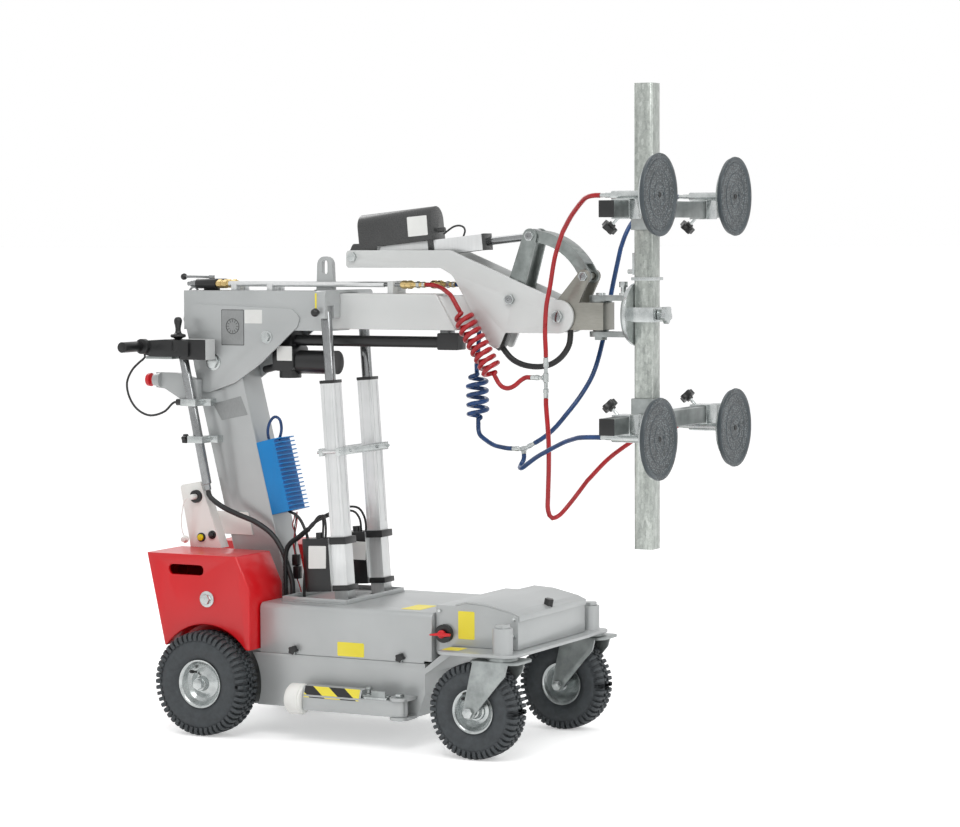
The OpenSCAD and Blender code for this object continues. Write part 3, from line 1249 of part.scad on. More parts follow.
module beam_tube() placed() {
    half = beam_w / 2;
    color("#a5a9a0") difference() {
        union() {
            difference() {
                plate(beam_low_z + 5, beam_top_z - 5)
                    polygon(rounded(block2(beam_rear_x, beam_front_x, -half, half), 6, 3));
                plate(beam_low_z, beam_top_z)
                    polygon(rounded(block2(beam_rear_x + beam_wall, beam_front_x - beam_wall, -half + beam_wall,
                        half - beam_wall), 3, 3));
            }
            rod_x(0, hub_z, spindle_d + 10, beam_rear_x + 1, beam_front_x - 1);
        }
        rod_x(0, hub_z, spindle_d + 2 * fit, beam_rear_x - 1, beam_front_x + 1);
    }
    // End caps
    color(black) for (z = [beam_low_z, beam_top_z - 5])
        plate(z, z + 5) polygon(rounded(block2(beam_rear_x, beam_front_x, -half, half), 6, 3));
    // Turning disc and the strap that holds the beam to it
    color(zinc) difference() {
        union() {
            rod_x(0, hub_z, disc_r * 2, disc_back_x, beam_rear_x);
            difference() {
                box(beam_rear_x - 1, beam_front_x + strap_t, -half - strap_t, half + strap_t, hub_z - 18, hub_z + 18);
                box(beam_rear_x - 2, beam_front_x, -half, half, hub_z - 19, hub_z + 19);
            }
        }
        rod_x(0, hub_z, spindle_d + 2 * fit, disc_back_x - 1, beam_front_x + 20);
    }
    // Rotation lock on the rear face
    color(zinc) {
        box(beam_rear_x - 7, beam_rear_x, -18, 18, hub_z + 98, hub_z + 152);
        rod_x(0, hub_z + 106, 12, beam_rear_x - 26, beam_rear_x - 6);
        difference() {
            box(beam_rear_x - 5, beam_front_x + 5, -half - 5, half + 5, hub_z + 84, hub_z + 92);
            box(beam_rear_x, beam_front_x, -half, half, hub_z + 80, hub_z + 100);
        }
    }
}

// Cross arm with its sleeve; side is 1 where the sleeve reaches down, -1 where it reaches up
module cross_arm(z, side) {
    low = side > 0 ? z + arm_w / 2 - sleeve_h : z - arm_w / 2;
    inner = beam_w / 2 + sleeve_gap;
    color("#a5a9a0") {
        difference() {
            box(arm_x - arm_w / 2, arm_x + arm_w / 2, -arm_half + 4, arm_half - 4, z - arm_w / 2, z + arm_w / 2);
            box(arm_x - arm_w / 2 + arm_wall, arm_x + arm_w / 2 - arm_wall, -arm_half, arm_half,
                z - arm_w / 2 + arm_wall, z + arm_w / 2 - arm_wall);
        }
        difference() {
            box(beam_mid_x - sleeve_half, beam_mid_x + sleeve_half, -sleeve_half, sleeve_half, low, low + sleeve_h);
            box(beam_mid_x - inner, beam_mid_x + inner, -inner, inner, low - 1, low + sleeve_h + 1);
        }
    }
    color(black) both_sides() box(arm_x - arm_w / 2, arm_x + arm_w / 2, arm_half - 4, arm_half, z - arm_w / 2, z + arm_w / 2);
}
module cross_arm_upper() placed() cross_arm(arm_upper_z, 1);
module cross_arm_lower() placed() cross_arm(arm_lower_z, -1);

// Suction pad and its carrier, drawn for the upper right; local Z is 0 at the cross arm's middle
carrier_w = 64;
carrier_t = 3.5;
module pad_carrier() {
    in = arm_w / 2 + sleeve_gap;
    out = in + carrier_t;
    color(zinc) {
        difference() {
            box(arm_x - out, arm_x + out, -carrier_w / 2, carrier_w / 2, -out, out);
            box(arm_x - in, arm_x + in, -carrier_w, carrier_w, -in, in);
        }
        difference() {
            union() {
                rod_x(0, pad_rise, pad_shaft_d, 1152, pad_back_x);
                box(arm_x - out, arm_x + out, -8, 8, out - 1, pad_rise - 2);
            }
            rod_x(0, pad_rise, 8, 1140, pad_back_x + 1);
        }
        rod_x(0, pad_rise, 12, 1134, 1153);
        rod_x(0, pad_rise, 10, 1121, 1135);
        rod_x(0, pad_rise, 60, pad_back_x, pad_back_x + 12);
        rod_x(0, pad_rise, pad_d - 46, pad_back_x + 12, pad_back_x + 20);
    }
    color("#4a5458") translate([pad_back_x + 20, 0, pad_rise]) rotate([0, 90, 0])
        rotate_extrude($fn = 96) polygon([[0, seat], [pad_d / 2 - 20, seat], [pad_d / 2 - 4, 4],
            [pad_d / 2 - 2, pad_depth - 5], [pad_d / 2, pad_depth - 4], [pad_d / 2 - 1, pad_depth],
            [pad_d / 2 - 8, pad_depth], [pad_d / 2 - 12, pad_depth - 3], [0, pad_depth - 3]]);
    // Clamp screw and knob at the lower rear corner
    color(black) translate([arm_x - out + 3, 0, -out + 3]) rotate([0, -135, 0]) {
        translate([0, 0, 1]) cylinder(d = 8, h = 26);
        translate([0, 0, 26]) star_knob(40, 14);
        translate([0, 0, 20]) cylinder(d = 18, h = 7);
    }
}
pad_depth = 17;
pad_back_x = pad_face_x - pad_depth - 20;
module pad(y, z, side) {
    translate([0, y, z]) if (side > 0) pad_carrier(); else mirror([0, 0, 1]) pad_carrier();
}
module pad_upper_right() placed() pad(-pad_y, arm_upper_z, 1);
module pad_upper_left() placed() pad(pad_y, arm_upper_z, 1);
module pad_lower_right() placed() pad(-pad_y, arm_lower_z, -1);
module pad_lower_left() placed() pad(pad_y, arm_lower_z, -1);

// Hoses

red_path = coil_route(red_coil_top, red_coil_foot, 9, 23, hose_d);
blue_path = coil_route(blue_coil_top, blue_coil_foot, 5, 24, hose_d);
module red_coil() placed() color(red) {
    tube_along(red_path, hose_d, 6);
    tube_along(red_in, hose_d);
}
module blue_coil() placed() color("#0a4c8c") {
    tube_along(blue_path, hose_d, 6);
    tube_along(blue_in, hose_d);
}
module branch_hoses() placed() {
    color(red) {
        tube_along(red_out, hose_d);
        tube_along(red_up, hose_d);
        tube_along(red_down, hose_d);
    }
    color("#0a4c8c") {
        tube_along(blue_out, hose_d);
        tube_along(blue_up, hose_d);
        tube_along(blue_low, hose_d);
    }
    // Tee and wye
    color(zinc) {
        translate(red_tee) {
            cylinder(d = 14, h = 102, center = true);
            translate([-42, 0, 0]) rotate([0, 90, 0]) cylinder(d = 14, h = 40);
        }
        translate(blue_wye) {
            sphere(d = 17);
            translate([0, 0, -12]) cylinder(d = 13, h = 9);
            rotate([0, 62, 3]) cylinder(d = 13, h = 34);
            rotate([0, -90, -5]) cylinder(d = 13, h = 34);
        }
    }
}
module jib_hose() placed() color(black) tube_along(jib_route, jib_hose_d, 10);
module control_cables() placed() color(black) {
    tube_along(lead_route, lead_d);
    tube_along(conduit_route, conduit_d, 10);
}

lower_frame();
deck_cover();
front_cover();
front_lid();
caster_plate();
battery_pack();
drive_unit();
mast();
counterweights();
socket_panel();
charger();
mast_brackets();
chassis_fasteners();
isolator_key();
estop_button();
yellow_button();
black_button();
support_arm_right();
support_arm_left();
arm_roller_right();
arm_roller_left();
rear_tyre_right();
rear_tyre_left();
rear_rim_right();
rear_rim_left();
caster_fork_right();
caster_fork_left();
caster_wheel_right();
caster_wheel_left();
handle_pole();
control_head();
joystick();
outer_boom();
lift_yoke();
air_lines();
extend_actuator();
valve_lever();
inner_boom();
jib_plates();
slide_rods();
lift_actuators();
lift_rods();
tilt_actuator();
tilt_rod();
tilt_levers();
tilt_link();
tilt_head();
swing_yoke();
beam_tube();
cross_arm_upper();
cross_arm_lower();
pad_upper_right();
pad_upper_left();
pad_lower_right();
pad_lower_left();
red_coil();
blue_coil();
branch_hoses();
jib_hose();
control_cables();
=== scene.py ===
import json
import math

import bpy
from mathutils import Matrix, Vector

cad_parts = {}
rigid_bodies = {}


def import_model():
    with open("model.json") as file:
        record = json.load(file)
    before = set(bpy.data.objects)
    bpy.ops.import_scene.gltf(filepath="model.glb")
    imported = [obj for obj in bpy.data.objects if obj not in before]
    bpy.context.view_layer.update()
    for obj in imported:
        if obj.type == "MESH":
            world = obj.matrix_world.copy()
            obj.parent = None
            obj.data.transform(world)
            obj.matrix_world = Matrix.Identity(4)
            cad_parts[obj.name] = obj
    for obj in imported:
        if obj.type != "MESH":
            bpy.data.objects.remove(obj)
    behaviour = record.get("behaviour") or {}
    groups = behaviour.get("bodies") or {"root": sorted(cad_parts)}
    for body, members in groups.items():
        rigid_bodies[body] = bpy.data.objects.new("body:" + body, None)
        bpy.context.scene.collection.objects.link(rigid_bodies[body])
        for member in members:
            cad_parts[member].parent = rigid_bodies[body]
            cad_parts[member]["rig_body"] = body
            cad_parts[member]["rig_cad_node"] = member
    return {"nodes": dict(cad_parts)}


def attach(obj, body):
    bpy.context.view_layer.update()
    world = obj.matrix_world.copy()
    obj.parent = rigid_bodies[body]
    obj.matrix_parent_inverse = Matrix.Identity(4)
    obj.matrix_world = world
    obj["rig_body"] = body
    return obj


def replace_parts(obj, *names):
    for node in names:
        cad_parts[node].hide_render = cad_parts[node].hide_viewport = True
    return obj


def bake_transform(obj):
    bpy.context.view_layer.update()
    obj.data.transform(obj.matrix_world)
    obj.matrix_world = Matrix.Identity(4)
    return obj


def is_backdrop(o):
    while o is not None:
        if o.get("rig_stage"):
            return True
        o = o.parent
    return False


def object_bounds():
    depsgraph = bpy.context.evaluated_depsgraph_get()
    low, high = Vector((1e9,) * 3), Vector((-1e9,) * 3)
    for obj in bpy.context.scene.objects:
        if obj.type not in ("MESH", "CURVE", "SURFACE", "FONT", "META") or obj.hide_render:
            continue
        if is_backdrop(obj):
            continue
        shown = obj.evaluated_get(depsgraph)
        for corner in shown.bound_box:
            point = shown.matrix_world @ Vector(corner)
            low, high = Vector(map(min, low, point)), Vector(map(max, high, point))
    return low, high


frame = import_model()
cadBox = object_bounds()
print("frame loaded:", len(frame["nodes"]), "nodes")

originShift = -497.5  # places below count from the rear axle; the frame counts from the footprint's middle


def at(x, y, z):
    return Vector(((x + originShift) / 1000, y / 1000, z / 1000))


def alone(thing):
    bpy.ops.object.select_all(action="DESELECT")
    thing.select_set(True)
    bpy.context.view_layer.objects.active = thing


# ---- camera: the photograph's viewpoint

viewpoint = {"place": (4121.41, -6594.68, 1296.05), "turn": 27.61, "rise": 3.55, "roll": -0.25, "lens": 110.04}


def setCamera():
    turn, rise, roll = (math.radians(viewpoint[k]) for k in ("turn", "rise", "roll"))
    back = Vector((math.sin(turn) * math.cos(rise), -math.cos(turn) * math.cos(rise), math.sin(rise)))
    right = Vector((math.cos(turn), math.sin(turn), 0))
    up = back.cross(right)
    across = right * math.cos(roll) + up * math.sin(roll)
    upward = up * math.cos(roll) - right * math.sin(roll)
    bpy.ops.object.camera_add()
    camera = bpy.context.active_object
    camera.name = "photoCamera"
    place = Matrix((across, upward, back)).transposed().to_4x4()
    place.translation = at(*viewpoint["place"])
    camera.matrix_world = place
    camera.data.sensor_width = 36
    camera.data.lens = viewpoint["lens"]
    camera.data.clip_end = 600
    bpy.context.scene.camera = camera


setCamera()


# ---- materials

def tint(hexColour):
    # sRGB hex to the linear values that the shader works in
    parts = [int(hexColour[i:i + 2], 16) / 255 for i in (1, 3, 5)]
    return tuple(c / 12.92 if c <= 0.04045 else ((c + 0.055) / 1.055) ** 2.4 for c in parts) + (1.0,)


def put(tree, kind, settings=None, sockets=None):
    # adds a shader node; a socket's value is a number, a colour or another node's output
    made = tree.nodes.new("ShaderNode" + kind)
    for key, value in (settings or {}).items():
        setattr(made, key, value)
    for key, value in (sockets or {}).items():
        if isinstance(value, bpy.types.NodeSocket):
            tree.links.new(value, made.inputs[key])
        else:
            made.inputs[key].default_value = value
    return made


def newMaterial(name, shine):
    # the shader's own settings go on its own sockets
    material = bpy.data.materials.new(name)
    material.use_nodes = True
    tree = material.node_tree
    tree.nodes.clear()
    shader = put(tree, "BsdfPrincipled", None, shine)
    put(tree, "OutputMaterial", None, {"Surface": shader.outputs[0]})
    place = put(tree, "TexCoord").outputs["Object"]
    return material, tree, shader, place


def ramped(tree, factor, stops):
    ramp = put(tree, "ValToRGB", None, {"Fac": factor})
    for element, (spot, colour) in zip(ramp.color_ramp.elements, (stops[0], stops[-1])):
        element.position, element.color = spot, tint(colour)
    for spot, colour in stops[1:-1]:
        ramp.color_ramp.elements.new(spot).color = tint(colour)
    return ramp.outputs["Color"]


def coloured(tree, shader, factor, stops):
    tree.links.new(ramped(tree, factor, stops), shader.inputs["Base Color"])


def roughened(tree, shader, factor, low, high):
    span = put(tree, "MapRange", None, {"Value": factor, "To Min": low, "To Max": high})
    tree.links.new(span.outputs[0], shader.inputs["Roughness"])


def bumped(tree, shader, height, depth, strength=1.0):
    bump = put(tree, "Bump", None, {"Height": height, "Distance": depth, "Strength": strength})
    tree.links.new(bump.outputs[0], shader.inputs["Normal"])


def powderCoat(name, dark, light, roughness, metallic=0.0, coat=0.0):
    # powder-coated steel, and the charger's matt case: even colour, a fine orange peel of about 1.5 mm,
    # softly spread highlights
    shine = {"Metallic": metallic, "Coat Weight": coat, "Coat Roughness": 0.12}
    material, tree, shader, place = newMaterial(name, shine)
    drift = put(tree, "TexNoise", None, {"Vector": place, "Scale": 6, "Detail": 3})
    coloured(tree, shader, drift.outputs["Fac"], [(0.3, dark), (0.7, light)])
    peel = put(tree, "TexNoise", None, {"Vector": place, "Scale": 620, "Detail": 2})
    roughened(tree, shader, drift.outputs["Fac"], roughness - 0.04, roughness + 0.05)
    bumped(tree, shader, peel.outputs["Fac"], 0.00012, 0.5)
    return material


def zincPlate(name, dark, light, roughness):
    # zinc-plated steel: bluish grey with cloudy patches 20 to 40 mm wide, and fine scratches
    material, tree, shader, place = newMaterial(name, {"Metallic": 0.85})
    cloud = put(tree, "TexNoise", None, {"Vector": place, "Scale": 28, "Detail": 6, "Roughness": 0.6})
    coloured(tree, shader, cloud.outputs["Fac"], [(0.32, dark), (0.68, light)])
    scratch = put(tree, "TexNoise", None, {"Vector": place, "Scale": 420, "Detail": 4})
    roughened(tree, shader, cloud.outputs["Fac"], roughness - 0.08, roughness + 0.12)
    bumped(tree, shader, scratch.outputs["Fac"], 0.00008, 0.5)
    return material


def galvanisedTube(name):
    # hot-dip galvanised tube: crystals 8 to 12 mm wide, drawn out along the tube, dull and bright side by side
    material, tree, shader, place = newMaterial(name, {"Metallic": 0.8})
    stretch = put(tree, "Mapping", None, {"Vector": place, "Scale": (1, 1, 0.45)})
    crystals = put(tree, "TexVoronoi", None, {"Vector": stretch.outputs[0], "Scale": 170, "Randomness": 1.0})
    runs = put(tree, "Mapping", None, {"Vector": place, "Scale": (1, 1, 0.06)})
    streaks = put(tree, "TexNoise", None, {"Vector": runs.outputs[0], "Scale": 90, "Detail": 5})
    speckle = put(tree, "TexNoise", None, {"Vector": place, "Scale": 260, "Detail": 4, "Roughness": 0.7})
    blend = put(tree, "Mix", {"data_type": "FLOAT"}, {0: 0.72, 2: crystals.outputs["Color"], 3: streaks.outputs["Fac"]})
    blend2 = put(tree, "Mix", {"data_type": "FLOAT"}, {0: 0.35, 2: blend.outputs[0], 3: speckle.outputs["Fac"]})
    coloured(tree, shader, blend2.outputs[0], [(0.3, "#858a86"), (0.5, "#a6aba6"), (0.7, "#cbd0cb")])
    roughened(tree, shader, blend2.outputs[0], 0.42, 0.24)
    bumped(tree, shader, blend2.outputs[0], 0.00012, 0.4)
    return material


def brushedSteel(name, dark, light, roughness, grain):
    # ground or drawn metal: fine parallel lines along one way, stretched highlights
    material, tree, shader, place = newMaterial(name, {"Metallic": 0.85})
    along = put(tree, "Mapping", None, {"Vector": place, "Scale": grain})
    lines = put(tree, "TexNoise", None, {"Vector": along.outputs[0], "Scale": 500, "Detail": 4})
    cloud = put(tree, "TexNoise", None, {"Vector": place, "Scale": 14, "Detail": 3})
    blend = put(tree, "Mix", {"data_type": "FLOAT"}, {0: 0.5, 2: lines.outputs["Fac"], 3: cloud.outputs["Fac"]})
    coloured(tree, shader, blend.outputs[0], [(0.35, dark), (0.65, light)])
    roughened(tree, shader, lines.outputs["Fac"], roughness - 0.07, roughness + 0.07)
    bumped(tree, shader, lines.outputs["Fac"], 0.00005, 0.5)
    return material


def mouldedPlastic(name, dark, light, roughness, grit=480, depth=0.00012):
    # moulded or die-cast part with a fine spark-eroded grain
    material, tree, shader, place = newMaterial(name, {"IOR": 1.5})
    drift = put(tree, "TexNoise", None, {"Vector": place, "Scale": 12, "Detail": 3})
    coloured(tree, shader, drift.outputs["Fac"], [(0.3, dark), (0.7, light)])
    grain = put(tree, "TexNoise", None, {"Vector": place, "Scale": grit, "Detail": 2})
    roughened(tree, shader, grain.outputs["Fac"], roughness - 0.05, roughness + 0.08)
    bumped(tree, shader, grain.outputs["Fac"], depth, 0.6)
    return material


def tyreRubber(name):
    # tyre: dull dark rubber, dusty on the tread and slightly glossy on the sidewall
    material, tree, shader, place = newMaterial(name, {"IOR": 1.5})
    dust = put(tree, "TexNoise", None, {"Vector": place, "Scale": 55, "Detail": 5, "Roughness": 0.65})
    coloured(tree, shader, dust.outputs["Fac"], [(0.35, "#33373a"), (0.7, "#43484b")])
    fine = put(tree, "TexNoise", None, {"Vector": place, "Scale": 700, "Detail": 2})
    roughened(tree, shader, dust.outputs["Fac"], 0.5, 0.72)
    bumped(tree, shader, fine.outputs["Fac"], 0.0001, 0.6)
    return material


def padFace(name):
    # suction pad's moulded face: pimples about 4 mm apart in grey rubber, with a painted highlight on their tops and
    # painted shade in the hollows between them
    material, tree, shader, place = newMaterial(name, {"IOR": 1.5})
    dots = put(tree, "TexVoronoi", {"feature": "F1"}, {"Vector": place, "Scale": 230, "Randomness": 0.7})
    drift = put(tree, "TexNoise", None, {"Vector": place, "Scale": 22, "Detail": 3})
    mix = put(tree, "Mix", {"data_type": "FLOAT"}, {0: 0.2, 2: dots.outputs["Distance"], 3: drift.outputs["Fac"]})
    # pale at each pimple's middle, dark between pimples: painted highlight and painted shade that follow the pimples'
    # height
    coloured(tree, shader, mix.outputs[0], [(0.2, "#7d868a"), (0.5, "#32393c"), (0.75, "#1e2325")])
    roughened(tree, shader, drift.outputs["Fac"], 0.34, 0.5)
    peaks = put(tree, "MapRange", None, {"Value": dots.outputs["Distance"], "From Max": 0.5,
                                         "To Min": 1.0, "To Max": 0.0})
    bumped(tree, shader, peaks.outputs[0], 0.0007, 0.9)
    return material


def hoseSkin(name, dark, light):
    # polyurethane hose: smooth, glossy and a little cloudy in depth
    material, tree, shader, place = newMaterial(name, {"IOR": 1.45, "Coat Weight": 0.15, "Coat Roughness": 0.08})
    cloud = put(tree, "TexNoise", None, {"Vector": place, "Scale": 40, "Detail": 2})
    coloured(tree, shader, cloud.outputs["Fac"], [(0.3, dark), (0.7, light)])
    roughened(tree, shader, cloud.outputs["Fac"], 0.24, 0.34)
    return material


def hazardTape(name):
    # black and yellow bands on vinyl tape, 45 mm wide along the arm and leaning with its slope
    material, tree, shader, place = newMaterial(name, {"IOR": 1.5})
    parts = put(tree, "SeparateXYZ", None, {"Vector": place})
    bandsPerMetre, start, lean = 11.0, 10.05, 1.4
    slant = put(tree, "Math", {"operation": "MULTIPLY_ADD"}, {0: parts.outputs["Z"], 1: lean, 2: parts.outputs["X"]})
    shifted = put(tree, "Math", {"operation": "MULTIPLY_ADD"}, {0: slant.outputs[0], 1: bandsPerMetre, 2: start})
    band = put(tree, "Math", {"operation": "FRACT"}, {0: shifted.outputs[0]})
    edge = put(tree, "Math", {"operation": "GREATER_THAN"}, {0: band.outputs[0], 1: 0.5})
    colour = put(tree, "Mix", {"data_type": "RGBA"}, {0: edge.outputs[0], 6: tint("#1d1d1f"), 7: tint("#f0e04a")})
    tree.links.new(colour.outputs[2], shader.inputs["Base Color"])
    wear = put(tree, "TexNoise", None, {"Vector": place, "Scale": 160, "Detail": 4})
    roughened(tree, shader, wear.outputs["Fac"], 0.32, 0.5)
    return material


greyCoat = powderCoat("greyPowderCoat", "#aeb1b1", "#b7baba", 0.32, 0.3)
paleCoat = powderCoat("paleGreyPowderCoat", "#cacccb", "#d3d5d4", 0.36, 0.2)
redCoat = powderCoat("redPowderCoat", "#cf0a14", "#d8101b", 0.34, 0.0, 0.2)
blueCoat = powderCoat("blueAnodisedCase", "#007cc2", "#0489d2", 0.42)
whiteCoat = powderCoat("whitePanelCoat", "#e9e9e5", "#f1f1ed", 0.36)
zinc = zincPlate("zincPlate", "#828786", "#a2a7a6", 0.34)
darkZinc = zincPlate("darkZincPlate", "#757b79", "#929896", 0.3)
brightZinc = zincPlate("brightZincPlate", "#a6abab", "#cacecd", 0.2)
galvanised = galvanisedTube("galvanisedTube")
anodised = brushedSteel("anodisedExtrusion", "#cdcfcf", "#dcdddd", 0.36, (1, 1, 0.02))
castHead = brushedSteel("machinedHead", "#87867f", "#92918a", 0.34, (0.15, 1, 1))
hardChrome = brushedSteel("hardChromeRod", "#7f8182", "#999b9c", 0.12, (1, 1, 0.3))
brassFinish = brushedSteel("machinedBrass", "#b3985f", "#d6be88", 0.2, (0.3, 1, 1))
blackShell = mouldedPlastic("blackMotorShell", "#343535", "#3f4040", 0.26)
blackPlastic = mouldedPlastic("blackPlastic", "#121314", "#1b1c1d", 0.34)
blackRubber = mouldedPlastic("blackHoseRubber", "#141516", "#202122", 0.45, 300)
whitePlastic = mouldedPlastic("whitePlastic", "#e6e6e2", "#f0f0ec", 0.42)
yellowPlastic = mouldedPlastic("yellowPlastic", "#e0cd00", "#ecdc10", 0.34)
redPlastic = mouldedPlastic("redPlastic", "#cf1a22", "#dc242c", 0.3)
plainLabel = mouldedPlastic("plainLabel", "#dfe0dd", "#e9eae7", 0.4, 900, 0.00003)
plainYellow = mouldedPlastic("plainYellowPatch", "#f0de3c", "#f6e650", 0.4, 900, 0.00003)
servicePlate = brushedSteel("plainServicePlate", "#8d8f8f", "#9a9c9c", 0.4, (1, 1, 0.3))
tyre = tyreRubber("tyreRubber")
padGrey = mouldedPlastic("padRubberGrey", "#353d41", "#414a4f", 0.42, 260)
padPimples = padFace("padPimples")
redHose = hoseSkin("redHose", "#9a0510", "#b00c19")
blueHose = hoseSkin("blueHose", "#002f5c", "#003f7a")
tape = hazardTape("hazardTape")
print("materials made")


# ---- hoses and cables first

def smoothRoute(corners, count):
    # even points on a smooth curve through the corners, in millimetres
    points = [Vector(c) for c in corners]
    points = [points[0] * 2 - points[1]] + points + [points[-1] * 2 - points[-2]]
    fine = []
    for i in range(1, len(points) - 2):
        a, b, c, d = points[i - 1:i + 3]
        ta = 0.0
        tb = ta + math.sqrt((b - a).length)
        tc = tb + math.sqrt((c - b).length)
        td = tc + math.sqrt((d - c).length)
        for k in range(12):
            t = tb + (tc - tb) * k / 12
            p = a * ((tb - t) / (tb - ta)) + b * ((t - ta) / (tb - ta))
            q = b * ((tc - t) / (tc - tb)) + c * ((t - tb) / (tc - tb))
            r = c * ((td - t) / (td - tc)) + d * ((t - tc) / (td - tc))
            u = p * ((tc - t) / (tc - ta)) + q * ((t - ta) / (tc - ta))
            v = q * ((td - t) / (td - tb)) + r * ((t - tb) / (td - tb))
            fine.append(u * ((tc - t) / (tc - tb)) + v * ((t - tb) / (tc - tb)))
    fine.append(points[-2])
    lengths = [0.0]
    for a, b in zip(fine, fine[1:]):
        lengths.append(lengths[-1] + (b - a).length)
    even, j = [], 0
    for k in range(count):
        goal = lengths[-1] * k / (count - 1)
        while j < len(fine) - 2 and lengths[j + 1] < goal:
            j += 1
        share = (goal - lengths[j]) / max(lengths[j + 1] - lengths[j], 1e-9)
        even.append(fine[j].lerp(fine[j + 1], min(max(share, 0), 1)))
    return even


def coilRoute(start, end, turns, radius, hose, steps=14):
    # the same winding as the source's coil, with more points to a turn
    a, b = Vector(start), Vector(end)
    u = (b - a).normalized()
    v = u.cross(Vector((0.1, 1, 0.05))).normalized()
    w = u.cross(v)
    n = turns * steps
    run = (b - a).length - 2 * hose
    made = [a]
    for i in range(n + 1):
        g = 2 * math.pi * i / steps
        k = min(1, min(i, n - i) / (steps * 0.6))
        made.append(a + u * (hose + run * i / n) + (v * math.cos(g) + w * math.sin(g)) * radius * k)
    return made + [b]


def tubeOf(name, route, diameter, finish, sides=2):
    # a poly curve with a round section, made a mesh
    bpy.ops.object.select_all(action="DESELECT")
    bpy.ops.curve.primitive_nurbs_path_add()
    path = bpy.context.active_object
    path.name = name
    curve = path.data
    curve.splines.clear()
    spline = curve.splines.new("POLY")
    spline.points.add(len(route) - 1)
    for point, place in zip(spline.points, route):
        point.co = (*at(*place), 1)
    curve.bevel_depth = diameter / 2000
    curve.bevel_resolution = sides
    curve.use_fill_caps = True
    alone(path)
    bpy.ops.object.convert(target="MESH")
    tube = bpy.context.active_object
    bpy.ops.object.shade_smooth()
    tube.data.materials.clear()
    tube.data.materials.append(finish)
    return tube


def hose(name, route, diameter, finish, bodies, start=None, end=None, node=None, sides=2, **facts):
    # bodies is one body to ride on, or two, and then the tube's place goes into its mesh and it rides on neither
    tube = tubeOf(name, route, diameter, finish, sides)
    path = [at(*p) for p in route]
    long = sum((b - a).length for a, b in zip(path, path[1:]))
    facts = {"stiffness": "medium", "lay": "hanging", "far_end": "object", **facts}
    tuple(path[0])
    if node:
        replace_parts(tube, node)
    if isinstance(bodies, str):
        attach(tube, bodies)
    else:
        at(*(start or route[0]))
        at(*(end or route[-1]))
        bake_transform(tube)
    return tube


hoseSize = {"air": 12, "jib": 15, "lead": 6, "conduit": 14}

redRoutes = {
    "down": [(529.3, -22, 1161), (543, -22, 1161), (566, -30, 1158), (596, -52, 1151), (614, -66, 1144),
             (630, -76, 1136), (641, -80, 1122.9), (647.4, -80, 1112.4), (653.8, -80, 1102.3)],
    "coil": [(654, -80, 1102), (760, -80, 929)],
    "out": [(760.2, -80, 928.7), (766.4, -80, 918.5), (778, -80, 908), (794, -80, 905), (812, -80, 912),
            (830, -80, 926), (844, -80, 933), (856.7, -80, 933)],
    "rise": [(899, -80, 984.3), (899, -80, 997), (899, -84, 1045), (908, -94, 1114), (921, -102, 1155),
             (945, -120, 1235), (976, -141, 1294)],
    "riseArm": [(976, -141, 1294), (1011, -166, 1332), (1046, -192, 1360)],
    "risePad": [(1046, -192, 1360), (1080, -222, 1377), (1106, -232, 1381), (1120.7, -232, 1381)],
    "fall": [(899, -80, 881.7), (899, -80, 869), (904, -76, 774), (901, -70, 700), (895, -62, 640),
             (890, -52, 600), (893, -38, 580), (903, -20, 584), (920, 8, 612), (945, 60, 668)],
    "fallArm": [(945, 60, 668), (978, 120, 722), (1020, 175, 765)],
    "fallPad": [(1020, 175, 765), (1070, 219, 792), (1106, 232, 801), (1120.7, 232, 801)],
}
blueRoutes = {
    "down": [(592.3, 22, 1161), (604.5, 22, 1161), (620, 34, 1156), (633, 52, 1140), (638, 60, 1110),
             (640, 60, 1060), (644, 48, 1010), (652, 26, 974), (653, 20, 961), (653, 20, 948.3)],
    "coil": [(653, 20, 948), (657, 20, 806)],
    "out": [(657, 20, 805.7), (657, 20, 793), (663, 16, 780), (684, 6, 768), (720, -14, 756),
            (750, -28, 752.5), (770.9, -36, 751), (782.8, -37, 751)],
    "rise": [(847.2, -38.4, 767.1), (857.8, -37.9, 772.7), (892, -28, 800), (921, -8, 840), (945, 22, 884),
             (962, 62, 940), (974, 95, 1027), (990, 112, 1148), (1003, 136, 1251)],
    "riseArm": [(1003, 136, 1251), (1012, 148, 1288), (1022, 163, 1316), (1038, 182, 1342)],
    "risePad": [(1038, 182, 1342), (1060, 205, 1364), (1106, 232, 1381), (1120.7, 232, 1381)],
    "low": [(817, -40, 738.7), (817, -40, 726.5), (813, -46, 714), (814, -57, 706), (828, -72, 706),
            (852, -87, 719), (886, -104, 738), (940, -132, 762)],
    "lowArm": [(940, -132, 762), (993, -168, 782), (1030, -196, 792)],
    "lowPad": [(1030, -196, 792), (1052, -212, 797), (1106, -232, 801), (1120.7, -232, 801)],
}
jibLine = [(739.2, 0, 1001.3), (748.7, 0, 989.6), (764, 0, 975), (788, 0, 963), (816, 0, 957), (848, 0, 957),
           (878, 0, 965), (906, 0, 985), (924, 0, 1012), (928, 0, 1035), (928, 0, 1050.7)]
handleLine = [(-268, -118, 975.6), (-268, -118, 966.6), (-281, -122, 955), (-300, -130, 934), (-312, -138, 900),
              (-307, -134, 860), (-287, -126, 828), (-254, -117, 813), (-216, -104, 824), (-198, -96, 844),
              (-189, -95, 849), (-182.3, -95, 849)]
poleLine = [(-87.7, -95, 618), (-84.8, -95, 604), (-50, -92, 578), (-3, -88, 558), (51, -82, 538),
            (96, -76, 508), (125, -75, 470), (146, -75, 420), (157, -75, 385), (158, -75, 366), (158, -75, 346.3)]
